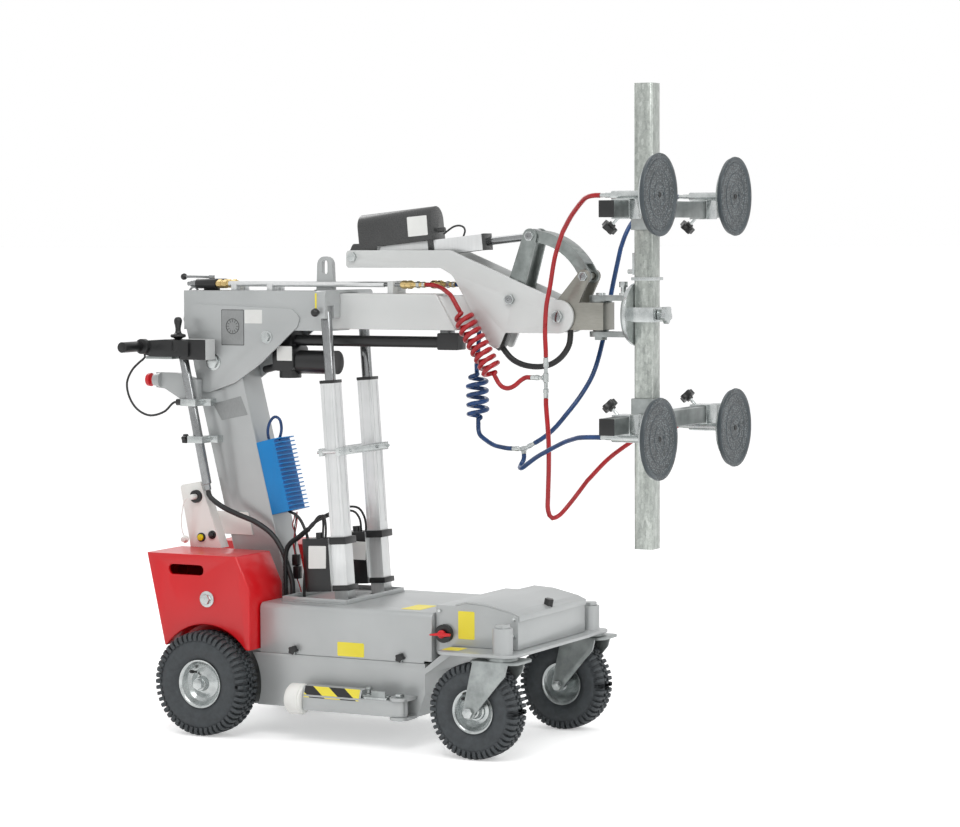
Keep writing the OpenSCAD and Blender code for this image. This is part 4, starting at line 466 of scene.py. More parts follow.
# hose, its route, how many points, the bodies it runs between, and the places passed as its start and end
redBranches = (
    ("redLeadOut", "out", 22, ("head", "side_head")),
    ("redRise", "rise", 28, ("side_head", "beam"), (899, -80, 1000), (960, -130, 1270)),
    ("redRiseArm", "riseArm", 16, ("beam", "upper_arm")),
    ("redRisePad", "risePad", 16, ("upper_arm", "upper_right_pad")),
    ("redFall", "fall", 36, ("side_head", "beam"), (899, -80, 866), (925, 20, 620)),
    ("redFallArm", "fallArm", 16, ("beam", "lower_arm")),
    ("redFallPad", "fallPad", 16, ("lower_arm", "lower_left_pad")),
)
blueBranches = (
    ("blueLeadOut", "out", 24, ("head", "side_head")),
    ("blueRise", "rise", 32, ("side_head", "beam"), (880, -30, 830), (995, 115, 1200)),
    ("blueRiseArm", "riseArm", 16, ("beam", "upper_arm")),
    ("blueRisePad", "risePad", 16, ("upper_arm", "upper_left_pad")),
    ("blueLow", "low", 30, ("side_head", "beam"), (850, -84, 718), (930, -125, 760)),
    ("blueLowArm", "lowArm", 16, ("beam", "lower_arm")),
    ("blueLowPad", "lowPad", 16, ("lower_arm", "lower_right_pad")),
)


def makeBranches(rows, routes, finish):
    for name, key, count, bodies, *bend in rows:
        hose(name, smoothRoute(routes[key], count), hoseSize["air"], finish, bodies, *bend, node="branch_hoses")


def makeHoses():
    air = hoseSize["air"]
    hose("redLeadIn", smoothRoute(redRoutes["down"], 24), air, redHose, "jib", node="red_coil")
    hose("redCoil", coilRoute(*redRoutes["coil"], 9, 23, air, 18), air, redHose, ("jib", "head"),
         (666, -80, 1082), (750, -80, 946), node="red_coil", lay="coiled", sides=3)
    makeBranches(redBranches, redRoutes, redHose)
    hose("blueLeadIn", smoothRoute(blueRoutes["down"], 28), air, blueHose, "jib", node="blue_coil")
    hose("blueCoil", coilRoute(*blueRoutes["coil"], 5, 24, air, 18), air, blueHose, ("jib", "head"),
         (653, 20, 930), (657, 20, 824), node="blue_coil", lay="coiled", sides=3)
    makeBranches(blueBranches, blueRoutes, blueHose)
    hose("jibHose", smoothRoute(jibLine, 32), hoseSize["jib"], blackRubber, ("jib", "head"),
         (780, 0, 966), (922, 0, 1010), node="jib_hose", sides=3)
    hose("handleLead", smoothRoute(handleLine, 36), hoseSize["lead"], blackRubber, ("handle", "chassis"),
         (-281, -122, 955), (-216, -104, 824), node="control_cables")
    hose("poleConduit", smoothRoute(poleLine, 36), hoseSize["conduit"], blackRubber, ("handle", "chassis"),
         (-87, -95, 615), (-3, -88, 558), node="control_cables", sides=3)


makeHoses()
print("hoses and cables made")


# ---- modelling helpers

def pressed(name, profile, plane, low, high):
    # draws an outline corner by corner, closes it and extrudes it; plane is side (x, z), plan (x, y) or front (y, z)
    lift = {"side": lambda p: Vector((p[0], low, p[1])), "plan": lambda p: Vector((p[0], p[1], low)),
            "front": lambda p: Vector((low, p[0], p[1]))}[plane]
    push = {"side": (0, 1, 0), "plan": (0, 0, 1), "front": (1, 0, 0)}[plane]
    piece = drawn(name, [lift(p) for p in profile])
    bpy.ops.mesh.remove_doubles(threshold=1e-6)
    bpy.ops.mesh.select_all(action="SELECT")
    bpy.ops.mesh.edge_face_add()
    bpy.ops.mesh.extrude_region_move(TRANSFORM_OT_translate={"value": Vector(push) * (high - low) / 1000})
    bpy.ops.mesh.select_all(action="SELECT")
    bpy.ops.mesh.normals_make_consistent(inside=False)
    bpy.ops.object.mode_set(mode="OBJECT")
    return piece


def drawn(name, corners, closed=True):
    bpy.ops.object.select_all(action="DESELECT")
    bpy.ops.mesh.primitive_plane_add(size=0.01)
    piece = bpy.context.active_object
    piece.name = piece.data.name = name
    bpy.ops.object.mode_set(mode="EDIT")
    bpy.ops.mesh.select_mode(type="VERT")
    bpy.ops.mesh.select_all(action="SELECT")
    bpy.ops.mesh.merge(type="CENTER")
    places = [at(*c) for c in corners]
    bpy.ops.transform.translate(value=places[0])
    for a, b in zip(places, places[1:] + places[:1] if closed else places[1:]):
        bpy.ops.mesh.extrude_vertices_move(TRANSFORM_OT_translate={"value": b - a})
    bpy.ops.mesh.select_all(action="SELECT")
    return piece


def rounded(corners, radius, steps=4):
    # each corner of a flat outline becomes an arc
    made, n = [], len(corners)
    for i, p in enumerate(corners):
        r = radius[i] if isinstance(radius, (list, tuple)) else radius
        if not r:
            made.append(p)
            continue
        p, a, b = Vector(p), Vector(corners[i - 1]), Vector(corners[(i + 1) % n])
        u, w = (a - p).normalized(), (b - p).normalized()
        half = math.acos(max(-1, min(1, u.dot(w)))) / 2
        centre = p + (u + w).normalized() * r / math.sin(half)
        first, last = p + u * r / math.tan(half) - centre, p + w * r / math.tan(half) - centre
        turn = math.atan2(first.x * last.y - first.y * last.x, first.dot(last))
        for k in range(steps + 1):
            g = turn * k / steps
            made.append((centre.x + first.x * math.cos(g) - first.y * math.sin(g),
                         centre.y + first.x * math.sin(g) + first.y * math.cos(g)))
    return made


def rect(x0, x1, y0, y1):
    return [(x0, y0), (x1, y0), (x1, y1), (x0, y1)]


def turned(name, profile, centre=None, axis=(0, 0, 1), steps=48, closed=False):
    # spins a profile of (radius, height) about its axis; without a centre it stays at the origin
    bpy.ops.object.select_all(action="DESELECT")
    piece = drawn(name, [(r - originShift, 0, h) for r, h in profile], closed)
    if closed:
        bpy.ops.mesh.remove_doubles(threshold=1e-6)
    bpy.ops.mesh.select_all(action="SELECT")
    bpy.ops.mesh.spin(steps=steps, angle=2 * math.pi, center=(0, 0, 0), axis=(0, 0, 1))
    bpy.ops.mesh.select_all(action="SELECT")
    bpy.ops.mesh.remove_doubles(threshold=2e-6)
    bpy.ops.mesh.normals_make_consistent(inside=False)
    bpy.ops.object.mode_set(mode="OBJECT")
    return settle(piece, centre, axis) if centre else piece


def settle(piece, centre, axis):
    # the local Z axis is turned to the given one, and the place goes into the mesh
    turn = Vector((0, 0, 1)).rotation_difference(Vector(axis).normalized())
    piece.matrix_world = Matrix.Translation(at(*centre)) @ turn.to_matrix().to_4x4()
    alone(piece)
    bpy.ops.object.transform_apply(location=True, rotation=True, scale=True)
    return piece


def bevelled(piece, width, segments=2, angle=32):
    alone(piece)
    bpy.ops.object.modifier_add(type="BEVEL")
    edge = piece.modifiers[-1]
    edge.width, edge.segments = width / 1000, segments
    edge.limit_method, edge.angle_limit = "ANGLE", math.radians(angle)
    edge.harden_normals = False
    bpy.ops.object.modifier_apply(modifier=edge.name)
    return piece


def finished(piece, finish, body, smooth=35):
    alone(piece)
    bpy.ops.object.shade_smooth_by_angle(angle=math.radians(smooth))
    if finish is not None:
        piece.data.materials.clear()
        piece.data.materials.append(finish)
    if body:
        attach(piece, body)
    return piece


def painted(piece, finish, inside, most=9e9):
    # faces no larger than most, in square millimetres, whose middle passes the test get another finish
    piece.data.materials.append(finish)
    number = len(piece.data.materials) - 1
    for face in piece.data.polygons:
        c = face.center
        if face.area * 1e6 < most and inside(c.x * 1000 - originShift, c.y * 1000, c.z * 1000):
            face.material_index = number
    return piece


def joined(name, pieces):
    bpy.ops.object.select_all(action="DESELECT")
    for piece in pieces:
        piece.select_set(True)
    bpy.context.view_layer.objects.active = pieces[0]
    if len(pieces) > 1:
        bpy.ops.object.join()
    made = bpy.context.active_object
    made.name = made.data.name = name
    return made


def copied(piece, shift=(0, 0, 0), mirrorY=False):
    alone(piece)
    bpy.ops.object.duplicate()
    twin = bpy.context.active_object
    if mirrorY:
        bpy.ops.object.mode_set(mode="EDIT")
        bpy.ops.mesh.select_all(action="SELECT")
        bpy.ops.transform.mirror(constraint_axis=(False, True, False), center_override=(0, 0, 0))
        bpy.ops.mesh.normals_make_consistent(inside=False)
        bpy.ops.object.mode_set(mode="OBJECT")
    twin.data.transform(Matrix.Translation(Vector(shift) / 1000))
    return twin


def eased(node, name, width, finish, angle=30, smooth=35):
    # a merged copy of a CAD node with its edges rounded, standing for the node
    source = frame["nodes"][node]
    alone(source)
    bpy.ops.object.duplicate()
    piece = bpy.context.active_object
    body = source["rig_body"]
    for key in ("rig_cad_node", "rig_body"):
        if key in piece:
            del piece[key]
    piece.parent = None
    piece.name = piece.data.name = name
    bpy.ops.object.mode_set(mode="EDIT")
    bpy.ops.mesh.select_all(action="SELECT")
    bpy.ops.mesh.remove_doubles(threshold=1e-6)
    bpy.ops.mesh.dissolve_limited(angle_limit=math.radians(0.8))
    bpy.ops.object.mode_set(mode="OBJECT")
    if width:
        bevelled(piece, width, 2, angle)
    piece.data.materials.clear()
    piece.data.materials.append(finish)
    finished(piece, None, body, smooth=smooth)
    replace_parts(piece, node)
    return piece


def boltHead(name, place, axis, across, high, washer=0.0):
    # hexagon head with a chamfered crown, on a washer
    bpy.ops.object.select_all(action="DESELECT")
    bpy.ops.mesh.primitive_cylinder_add(vertices=6, radius=across / 1732, depth=high / 1000,
                                        location=(0, 0, (high / 2 + 1.5) / 1000))
    head = bpy.context.active_object
    bpy.ops.object.transform_apply(location=True)
    bevelled(head, across * 0.07, 2, 40)
    parts = [head]
    if washer:
        bpy.ops.mesh.primitive_cylinder_add(vertices=28, radius=washer / 2000, depth=0.002, location=(0, 0, 0.001))
        bpy.ops.object.transform_apply(location=True)
        parts.append(bevelled(bpy.context.active_object, 0.5, 1, 40))
    made = joined(name, parts)
    return settle(made, place, axis)


# ---- wheels

treads = {
    "rear": {"outer": 135.0, "width": 88.0, "rim": 60.0, "dish": 8, "pitches": 50, "centre": (0, 248, 135),
             "nodes": ("rear_tyre_", "rear_rim_")},
    "front": {"outer": 120.0, "width": 80.0, "rim": 53.0, "dish": 6, "pitches": 46, "centre": (793, 248, 120),
              "nodes": ("caster_wheel_", None)},
}
hubShaft = [(0.1, 0), (10, 0), (10, 200), (0.1, 200)]
valveStem = [(0.1, 0), (3, 0), (3, 12), (4.5, 12.5), (4.5, 22), (3.5, 24), (0.1, 24)]


def carcass(name, size):
    # the smooth body of the tyre, a groove's depth below its lugs
    r, w, rim = size["outer"], size["width"] / 2, size["rim"]
    crown = r - 5
    side = [(rim, -w * 0.56), (rim + 2, -w * 0.66), (rim + 6, -w * 0.7), (rim + 10, -w * 0.84),
            (rim + (r - rim) * 0.28, -w * 0.95), (rim + (r - rim) * 0.46, -w * 0.965),
            (rim + (r - rim) * 0.62, -w * 0.93), (r - 14, -w * 0.8), (crown - 2, -w * 0.56), (crown, -w * 0.25)]
    return turned(name, side + [(a, -b) for a, b in reversed(side)], steps=72)


def tyreOf(name, size):
    # local Z is the axle; lugs are modelled once and spun round
    r, w = size["outer"], size["width"] / 2
    pitch = 2 * math.pi * r / size["pitches"]
    body = carcass(name, size)
    lugs = []
    for side in (-1, 1):
        outline = [(r - 23, 0.93), (r - 12, 0.985), (r - 4.5, 0.9), (r - 1.0, 0.74), (r, 0.44), (r - 5.5, 0.42),
                   (r - 16, 0.78)]
        outline = [(a - originShift, side * w * b) for a, b in outline]
        lug = pressed(name + "Lug", outline, "side", -pitch * 0.27, pitch * 0.27)
        lugs.append(bevelled(lug, 0.9, 1, 30))
    for row, lift in ((-0.26, 0.0), (0.0, 0.5), (0.26, 0.0)):
        # arrow block: six corners in the tread's plane
        deep, half = pitch * 0.3, w * 0.145
        notch = deep * 0.35
        arrow = [(-half, -deep), (0, -notch), (half, -deep), (half, notch), (0, deep), (-half, notch)]
        arrow = [(y + lift * pitch, z + row * w) for z, y in arrow]
        block = pressed(name + "Block", arrow, "front", r - 6 - originShift, r - originShift)
        lugs.append(bevelled(block, 0.8, 1, 30))
    ringOf = joined(name + "Lugs", lugs)
    alone(ringOf)
    bpy.ops.object.mode_set(mode="EDIT")
    bpy.ops.mesh.select_all(action="SELECT")
    bpy.ops.mesh.spin(steps=size["pitches"], dupli=True, angle=2 * math.pi, center=(0, 0, 0), axis=(0, 0, 1))
    bpy.ops.object.mode_set(mode="OBJECT")
    return joined(name, [body, ringOf])


def rimOf(name, size, deep):
    # pressed disc wheel: rolled flange, well, dished disc with lightening dents, and a hub
    rim, w = size["rim"], size["width"] / 2
    shell = [(rim + 1.5, w * 0.62), (rim + 3.5, w * 0.7), (rim + 2.5, w * 0.76), (rim - 1, w * 0.74),
             (rim - 5, w * 0.62), (rim - 9, w * 0.4), (rim - 12, deep + 6), (rim - 20, deep), (rim - 28, deep + 3),
             (24, deep + 9), (20, deep + 10), (17, w * 0.72), (15, w * 0.76), (9, w * 0.76), (9, -w * 0.76),
             (17, -w * 0.72), (20, deep - 2), (rim - 22, deep - 10), (rim - 14, -w * 0.3), (rim - 5, -w * 0.62),
             (rim - 1, -w * 0.74), (rim + 2.5, -w * 0.76), (rim + 1.5, -w * 0.62), (rim - 3, -w * 0.45),
             (rim - 3, w * 0.45)]
    return turned(name, shell, steps=56, closed=True)


def placeWheel(part, name, centre, side, body, node, finish):
    # a wheel's local Z axis points outwards
    alone(part)
    bpy.ops.object.duplicate()
    wheel = bpy.context.active_object
    wheel.name = wheel.data.name = name
    settle(wheel, (centre[0], side * centre[1], centre[2]), (0, side, 0))
    finished(wheel, finish, body, 40)
    if node:
        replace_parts(wheel, node)
    return wheel


def makeWheels():
    for kind, size in treads.items():
        tyreShape, rimShape = tyreOf(kind + "Tyre", size), rimOf(kind + "Rim", size, size["dish"])
        tyreNode, rimNode = size["nodes"]
        x, y, z = size["centre"]
        for side, tag in ((-1, "Right"), (1, "Left")):
            body = kind + "_wheel_" + tag.lower()
            placeWheel(tyreShape, kind + "Tyre" + tag, (x, y, z), side, body, tyreNode + tag.lower(),
                       tyre)
            placeWheel(rimShape, kind + "Rim" + tag, (x, y, z), side, body, rimNode and rimNode + tag.lower(),
                       brightZinc)
            if kind == "rear":
                nut = boltHead("rearHubNut" + tag, (x, side * (y + 33), z), (0, side, 0), 26, 10, 34)
                finished(nut, brightZinc, body)
                stub = turned("rearShaft" + tag, hubShaft, (x, side * 60, z), (0, side, 0), 32)
                finished(stub, zinc, body)
            valve = turned("valve" + kind + tag, valveStem, (x - 22, side * (y + 14), z + 28), (-0.1, side, 0.15), 14)
            finished(valve, blackRubber, body)
        for shape in (tyreShape, rimShape):
            bpy.data.objects.remove(shape)


makeWheels()
print("wheels made")


# ---- the CAD nodes with their edges eased and their finishes

easings = {
    "lower_frame": ("lowerFrame", 3.4, greyCoat), "deck_cover": ("deckCover", 3.0, greyCoat),
    "front_cover": ("frontCover", 2.4, greyCoat), "front_lid": ("frontLid", 1.2, greyCoat),
    "caster_plate": ("casterPlate", 1.4, greyCoat), "battery_pack": ("batteryPack", 2.0, blackPlastic),
    "drive_unit": ("driveUnit", 1.2, zinc), "mast": ("mastTube", 5.0, greyCoat),
    "counterweights": ("counterweights", 3.0, redCoat), "socket_panel": ("socketPanel", 0.9, whiteCoat),
    "charger": ("chargerCase", 0.5, blueCoat), "mast_brackets": ("mastBrackets", 0.8, brightZinc),
    "chassis_fasteners": ("chassisFasteners", 0.8, brightZinc),
    "estop_button": ("stopButton", 2.0, redPlastic), "yellow_button": ("yellowButton", 1.5, yellowPlastic),
    "black_button": ("blackButton", 1.5, blackPlastic), "support_arm_right": ("supportArmRight", 1.5, greyCoat),
    "support_arm_left": ("supportArmLeft", 1.5, greyCoat), "arm_roller_right": ("rollerRight", 3.0, whitePlastic),
    "arm_roller_left": ("rollerLeft", 3.0, whitePlastic), "caster_fork_right": ("forkRight", 1.4, zinc),
    "caster_fork_left": ("forkLeft", 1.4, zinc), "handle_pole": ("handlePole", 0.8, hardChrome),
    "control_head": ("controlHead", 3.2, blackPlastic),
    "outer_boom": ("outerBoom", 1.6, greyCoat), "lift_yoke": ("liftYoke", 1.6, greyCoat),
    "air_lines": ("airLines", 0.6, anodised), "extend_actuator": ("extendActuator", 1.6, blackPlastic),
    "valve_lever": ("valveLever", 0.5, hardChrome), "inner_boom": ("innerBoom", 3.0, paleCoat),
    "jib_plates": ("jibPlates", 1.0, paleCoat), "slide_rods": ("slideRods", 0.8, hardChrome),
    "lift_actuators": ("liftActuators", 0.9, anodised), "lift_rods": ("liftRods", 0.5, hardChrome),
    "tilt_actuator": ("tiltActuator", 1.2, blackShell), "tilt_rod": ("tiltRod", 0.6, hardChrome),
    "tilt_levers": ("tiltLevers", 0.8, darkZinc), "tilt_link": ("tiltLink", 0.8, darkZinc),
    "tilt_head": ("tiltHead", 1.2, castHead), "swing_yoke": ("swingYoke", 0.8, zinc),
    "beam_tube": ("beamTube", 0.8, galvanised), "cross_arm_upper": ("crossArmUpper", 1.2, zinc),
    "cross_arm_lower": ("crossArmLower", 1.2, zinc), "pad_upper_right": ("padUpperRight", 0.8, brightZinc),
    "pad_upper_left": ("padUpperLeft", 0.8, brightZinc), "pad_lower_right": ("padLowerRight", 0.8, brightZinc),
    "pad_lower_left": ("padLowerLeft", 0.8, brightZinc),
}
dressed = {node: eased(node, *facts) for node, facts in easings.items()}
print("nodes eased:", len(dressed))

liftFoot, liftHead = Vector((332, 300)), Vector((277, 1084))  # pins of the lift actuators, x and z
tiltTail, tiltHeadPin = Vector((328, 1232)), Vector((831, 1284))  # pins of the tilt actuator


def along(foot, head, x, z):
    # how far a place lies along an actuator, and how far to its front or top
    way = (head - foot).normalized()
    rel = Vector((x, z)) - foot
    return rel.dot(way), rel.dot(Vector((way.y, -way.x)))


def liftMotor(x, y, z):
    # the motor, its plinth and the black end caps of a lift actuator
    far, out = along(liftFoot, liftHead, x, z)
    return far > 609 or 70 < far < 230 and (out < -20.2 or far < 92 or far > 195)


def liftClamp(x, y, z):
    far, out = along(liftFoot, liftHead, x, z)
    return 420 < far < 450 and abs(out) > 20.2


def tiltTube(x, y, z):
    far, out = along(tiltTail, tiltHeadPin, x, z)
    return 64 < far < 365 and abs(out) < 20.2 and abs(y) < 20.2 and not 211 < far < 227


def poleX(z):
    # the handle pole's middle at a height
    return -91 - (z - 634) * math.tan(math.radians(11.8))


def starKnob(x, y, z):
    return (225 < z < 250 and abs(y) > 204 and 200 < x < 600) or (y < -189 and x > 640 and z > 260)


def forkBolt(x, y, z):
    return z < 140 and (abs(y) < 193 or abs(y) > 303)


def latchPin(x, y, z):
    return (z > 128.3 and x > 470) or (x < 300 and 241 < abs(y) < 259 and 103 < z < 121)


# node, its second finish, and which faces wear it; a later row goes over an earlier one
finishZones = [
    ("socket_panel", blackPlastic, lambda x, y, z: y < -88.2),
    ("socket_panel", whitePlastic, lambda x, y, z: y < -97.5),
    ("mast_brackets", blackPlastic, lambda x, y, z: x < poleX(z) - 23.5 and z < 790),
    ("mast_brackets", blackPlastic, lambda x, y, z: x < -158.5 and 838 < z < 860 and -105 < y < -85),
    ("mast_brackets", greyCoat, lambda x, y, z: -103 < y < -58 and z > 856.5 and x < -127.5),
    ("chassis_fasteners", blackPlastic, starKnob),
    ("front_lid", blackPlastic, lambda x, y, z: x > 848 and abs(y) < 16 and z > 352, 400),
    ("air_lines", brassFinish, lambda x, y, z: -100.5 < x < -61.5 and z > 1150),
    ("air_lines", blackPlastic, lambda x, y, z: x < -99.5 and z > 1147),
    ("valve_lever", blackPlastic, lambda x, y, z: x < -211),
    ("slide_rods", brassFinish, lambda x, y, z: x > 450 and z > 1148),
    ("slide_rods", blackPlastic, lambda x, y, z: x > 561 and z < 1042),
    ("slide_rods", paleCoat, lambda x, y, z: 420 < x < 444 and z > 1137),
    ("lift_yoke", blackPlastic, lambda x, y, z: y < -125.2),
    ("outer_boom", brightZinc, lambda x, y, z: abs(y) > 56.7),
    ("jib_plates", blackShell, lambda x, y, z: z < 1052 and abs(y) < 10.5),
    ("control_head", paleCoat, lambda x, y, z: x > -124.8),
    ("caster_fork_right", greyCoat, lambda x, y, z: z > 306),
    ("caster_fork_right", brightZinc, forkBolt),
    ("caster_fork_left", greyCoat, lambda x, y, z: z > 306),
    ("caster_fork_left", brightZinc, forkBolt),
    ("tilt_levers", brightZinc, lambda x, y, z: abs(y) > 32.2),
    ("tilt_link", brightZinc, lambda x, y, z: abs(y) > 32.2),
    ("lift_actuators", blackPlastic, liftMotor),
    ("lift_actuators", brightZinc, liftClamp),
    ("tilt_actuator", anodised, tiltTube),
    ("tilt_actuator", brightZinc, lambda x, y, z: abs(y) > 36),
    ("tilt_head", brightZinc, lambda x, y, z: abs(y) > 33.2),
    ("swing_yoke", brightZinc, lambda x, y, z: x > 1160 or z > 1137),
    ("beam_tube", blackPlastic, lambda x, y, z: z < 516.5 or z > 1651.5),
    ("beam_tube", brightZinc, lambda x, y, z: x < 1112.8 or x > 1163.2 or abs(y) > 25.2),
    ("cross_arm_upper", blackPlastic, lambda x, y, z: abs(y) > 339.6),
    ("cross_arm_lower", blackPlastic, lambda x, y, z: abs(y) > 339.6),
    ("support_arm_right", brightZinc, latchPin),
    ("support_arm_left", brightZinc, latchPin),
]
# cross arm's height, which way the pad's middle lies from it, and where the faces change finish
padZones = {"upper": (1348, 1), "lower": (834, -1), "rise": 33, "middle": 232, "rubberX": 1261.9, "faceX": 1274,
            "faceRadius": 88}


def padFront(x, y, z, arm, rise):
    reach = math.hypot(z - arm - rise * padZones["rise"], abs(y) - padZones["middle"])
    return x > padZones["faceX"] and reach < padZones["faceRadius"]


def padKnob(x, y, z, arm, rise):
    deep = (z - arm) * rise
    return x < 1160 and deep < -24 and (1164.5 - x - deep - 20) * 0.707 > 18


def paintNodes():
    for node, finish, zone, *most in finishZones:
        painted(dressed[node], finish, zone, *most)
    for node in ("pad_upper_right", "pad_upper_left", "pad_lower_right", "pad_lower_left"):
        arm, rise = padZones[node.split("_")[1]]
        painted(dressed[node], padGrey, lambda x, y, z: x > padZones["rubberX"])
        painted(dressed[node], padPimples, lambda x, y, z, a=arm, r=rise: padFront(x, y, z, a, r))
        painted(dressed[node], blackPlastic, lambda x, y, z, a=arm, r=rise: padKnob(x, y, z, a, r))


paintNodes()
print("finishes given")


# ---- smaller things that the solids leave out

def tapePatch(name, corners, plane, low, high, finish, body):
    # a thin patch; plane is as in pressed
    patch = pressed(name, corners, plane, low, high)
    return finished(bevelled(patch, 0.15, 1), finish, body)


tapeAlong = (306, 466)  # the hazard tape's ends on a support arm
servicePlateRect = (-66, 4, 1000, 1094)
dialPlace = {"x": -31, "z": 1050, "ticks": 12, "inner": 11, "outer": 18, "half": 0.5}
motorLabels = ([(240, 489), (292, 491), (291, 433), (239, 430)], [(259, 484), (301, 484), (300, 436), (258, 436)])
sidePatches = [
    # name, outline, its corners' radius, the two depths, finish, body
    ("labelBoom", rect(6, 60, 1058, 1094), 2, -57.0, -56.52, plainLabel, "boom"),
    ("yellowPatchYoke", rect(262, 267, 1092, 1140), 1, -125.6, -125.02, plainYellow, "boom"),
    ("labelMast", [(-100, 844), (-13, 866), (8, 817), (-73, 801)], 2, -48.6, -48.02, servicePlate, "chassis"),
    ("labelGearbox", rect(93, 139, 961, 999), 2, -38.6, -38.02, plainLabel, "boom"),
    ("labelTilt", [(486, 1283), (543, 1288), (539, 1338), (482, 1333)], 2, -34.9, -34.05, plainLabel,
     "tilt_cylinder"),
    ("labelMotorRight", motorLabels[0], 2, -130.4, -129.4, plainLabel, "lift_cylinders"),
    ("labelMotorLeft", motorLabels[1], 2, 59.6, 60.6, plainLabel, "lift_cylinders"),
]


def makeMarks():
    for side, tag in ((-1, "Right"), (1, "Left")):
        slope = [(side * 270.2, 121.2), (side * 260.1, 149.1), (side * 260.6, 149.5), (side * 270.8, 121.4)]
        tapePatch("hazardTape" + tag, slope, "front", *tapeAlong, tape, "support_" + tag.lower())
    for name, outline, radius, plane, low, high in (
            ("yellowPatchSide", rect(368, 446, 222, 258), 3, "side", -205.6, -205.02),
            ("yellowPatchDeck", rect(530, 586, -165, -72), 4, "plan", 346.05, 346.6),
            ("yellowPatchCover", rect(708, 754, 284, 354), 3, "side", -190.6, -190.02),
            ("yellowPatchPlate", rect(694, 742, -254, -204), 4, "plan", 264.05, 264.6)):
        tapePatch(name, rounded(outline, radius, 2), plane, low, high, plainYellow, "chassis")
    # the service plate: a dark rim, a bright sheet and a blank dial
    x0, x1, z0, z1 = servicePlateRect
    rim, sheet = rect(x0, x1, z0, z1), rect(x0 + 1.5, x1 - 1.5, z0 + 1.5, z1 - 1.5)
    tapePatch("plateEdge", rounded(rim, 2, 2), "side", -56.9, -56.52, blackPlastic, "boom")
    tapePatch("plateService", rounded(sheet, 2, 2), "side", -57.2, -56.8, servicePlate, "boom")
    x, z, half = dialPlace["x"], dialPlace["z"], dialPlace["half"]
    ticks = [turned("plateDial", [(19, 0), (20.4, 0), (20.4, 0.5), (19, 0.5)], (x, -57.15, z), (0, -1, 0), 48, True)]
    for k in range(dialPlace["ticks"]):
        c, t = math.cos(k * 2 * math.pi / dialPlace["ticks"]), math.sin(k * 2 * math.pi / dialPlace["ticks"])
        bar = [(x + r * c - s * t, z + r * t + s * c)
               for r, s in ((dialPlace["inner"], half), (dialPlace["outer"], half),
                            (dialPlace["outer"], -half), (dialPlace["inner"], -half))]
        ticks.append(pressed("tick", bar, "side", -57.65, -57.15))
    finished(joined("plateDial", ticks), blackPlastic, "boom")
    for name, outline, radius, low, high, finish, body in sidePatches:
        tapePatch(name, rounded(outline, radius, 2), "side", low, high, finish, body)


def ribbed(name, corners, radius, pitch, body):
    # a corrugated conduit: rings set along its route, each turned with it
    route = smoothRoute(corners, 60)
    long = sum((b - a).length for a, b in zip(route, route[1:]))
    rings, count, j, gone = [], int(long / pitch), 0, 0.0
    outline = [(radius - 1.6, -pitch * 0.3), (radius, -pitch * 0.18), (radius, pitch * 0.18),
               (radius - 1.6, pitch * 0.3)]
    shape = turned(name + "Rib", outline, steps=16)
    for k in range(count):
        goal = long * (k + 0.5) / count
        while j < len(route) - 2 and gone + (route[j + 1] - route[j]).length < goal:
            gone += (route[j + 1] - route[j]).length
            j += 1
        step = route[j + 1] - route[j]
        alone(shape)
        bpy.ops.object.duplicate()
        place = route[j] + step * ((goal - gone) / step.length)
        rings.append(settle(bpy.context.active_object, place, step))
    bpy.data.objects.remove(shape)
    return finished(joined(name, rings), blackRubber, body, 60)


# outlines of (radius, height) that are spun round their own axis
teeHalf = [(4.2, 51), (6.2, 49.5), (6.2, 38), (7, 37), (7, 28), (4.8, 26.5), (4.8, 13), (7, 10.5)]
teeArm = [(0.1, 2), (7, 8), (4.8, 12), (4.8, 18), (7, 19), (7, 28), (6.2, 29), (6.2, 40.5), (4.2, 42), (0.1, 42)]
wyeBall = [(0.1, -8.5), (5, -7), (8, -3), (8, 3), (5, 7), (0.1, 8.5)]
wyeBranch = [(0.1, 2), (6.5, 6), (5.2, 11), (5.2, 14), (6.5, 15), (6.5, 24), (5.6, 25), (5.6, 33), (4, 34), (0.1, 34)]
wyeStub = [(0.1, 2), (6.5, 4), (6.5, 11), (4, 12), (0.1, 12)]
nutOutline = [(9.05, 0), (11, 1), (11, 11), (9.6, 12), (9.6, 17), (11, 18), (11, 27), (9.05, 28)]
collarOutline = [(7.05, 0), (9, 1), (9, 9), (7.05, 10)]
tipOutline = [(7.05, 0), (8, 1), (8, 6), (7.05, 7)]
rearNut = [(8.55, 0), (11.5, 1), (11.5, 12), (9.5, 13), (9.5, 19), (11.5, 20), (11.5, 30), (8.55, 31)]
quickOutline = [(0.1, -9), (6, -9), (6, 0), (8.5, 1), (8.5, 9), (10, 10), (10, 20), (0.1, 20)]
teeCentre, wyeCentre = (899, -80, 933), (817, -40, 751)
airLineZ = 1161


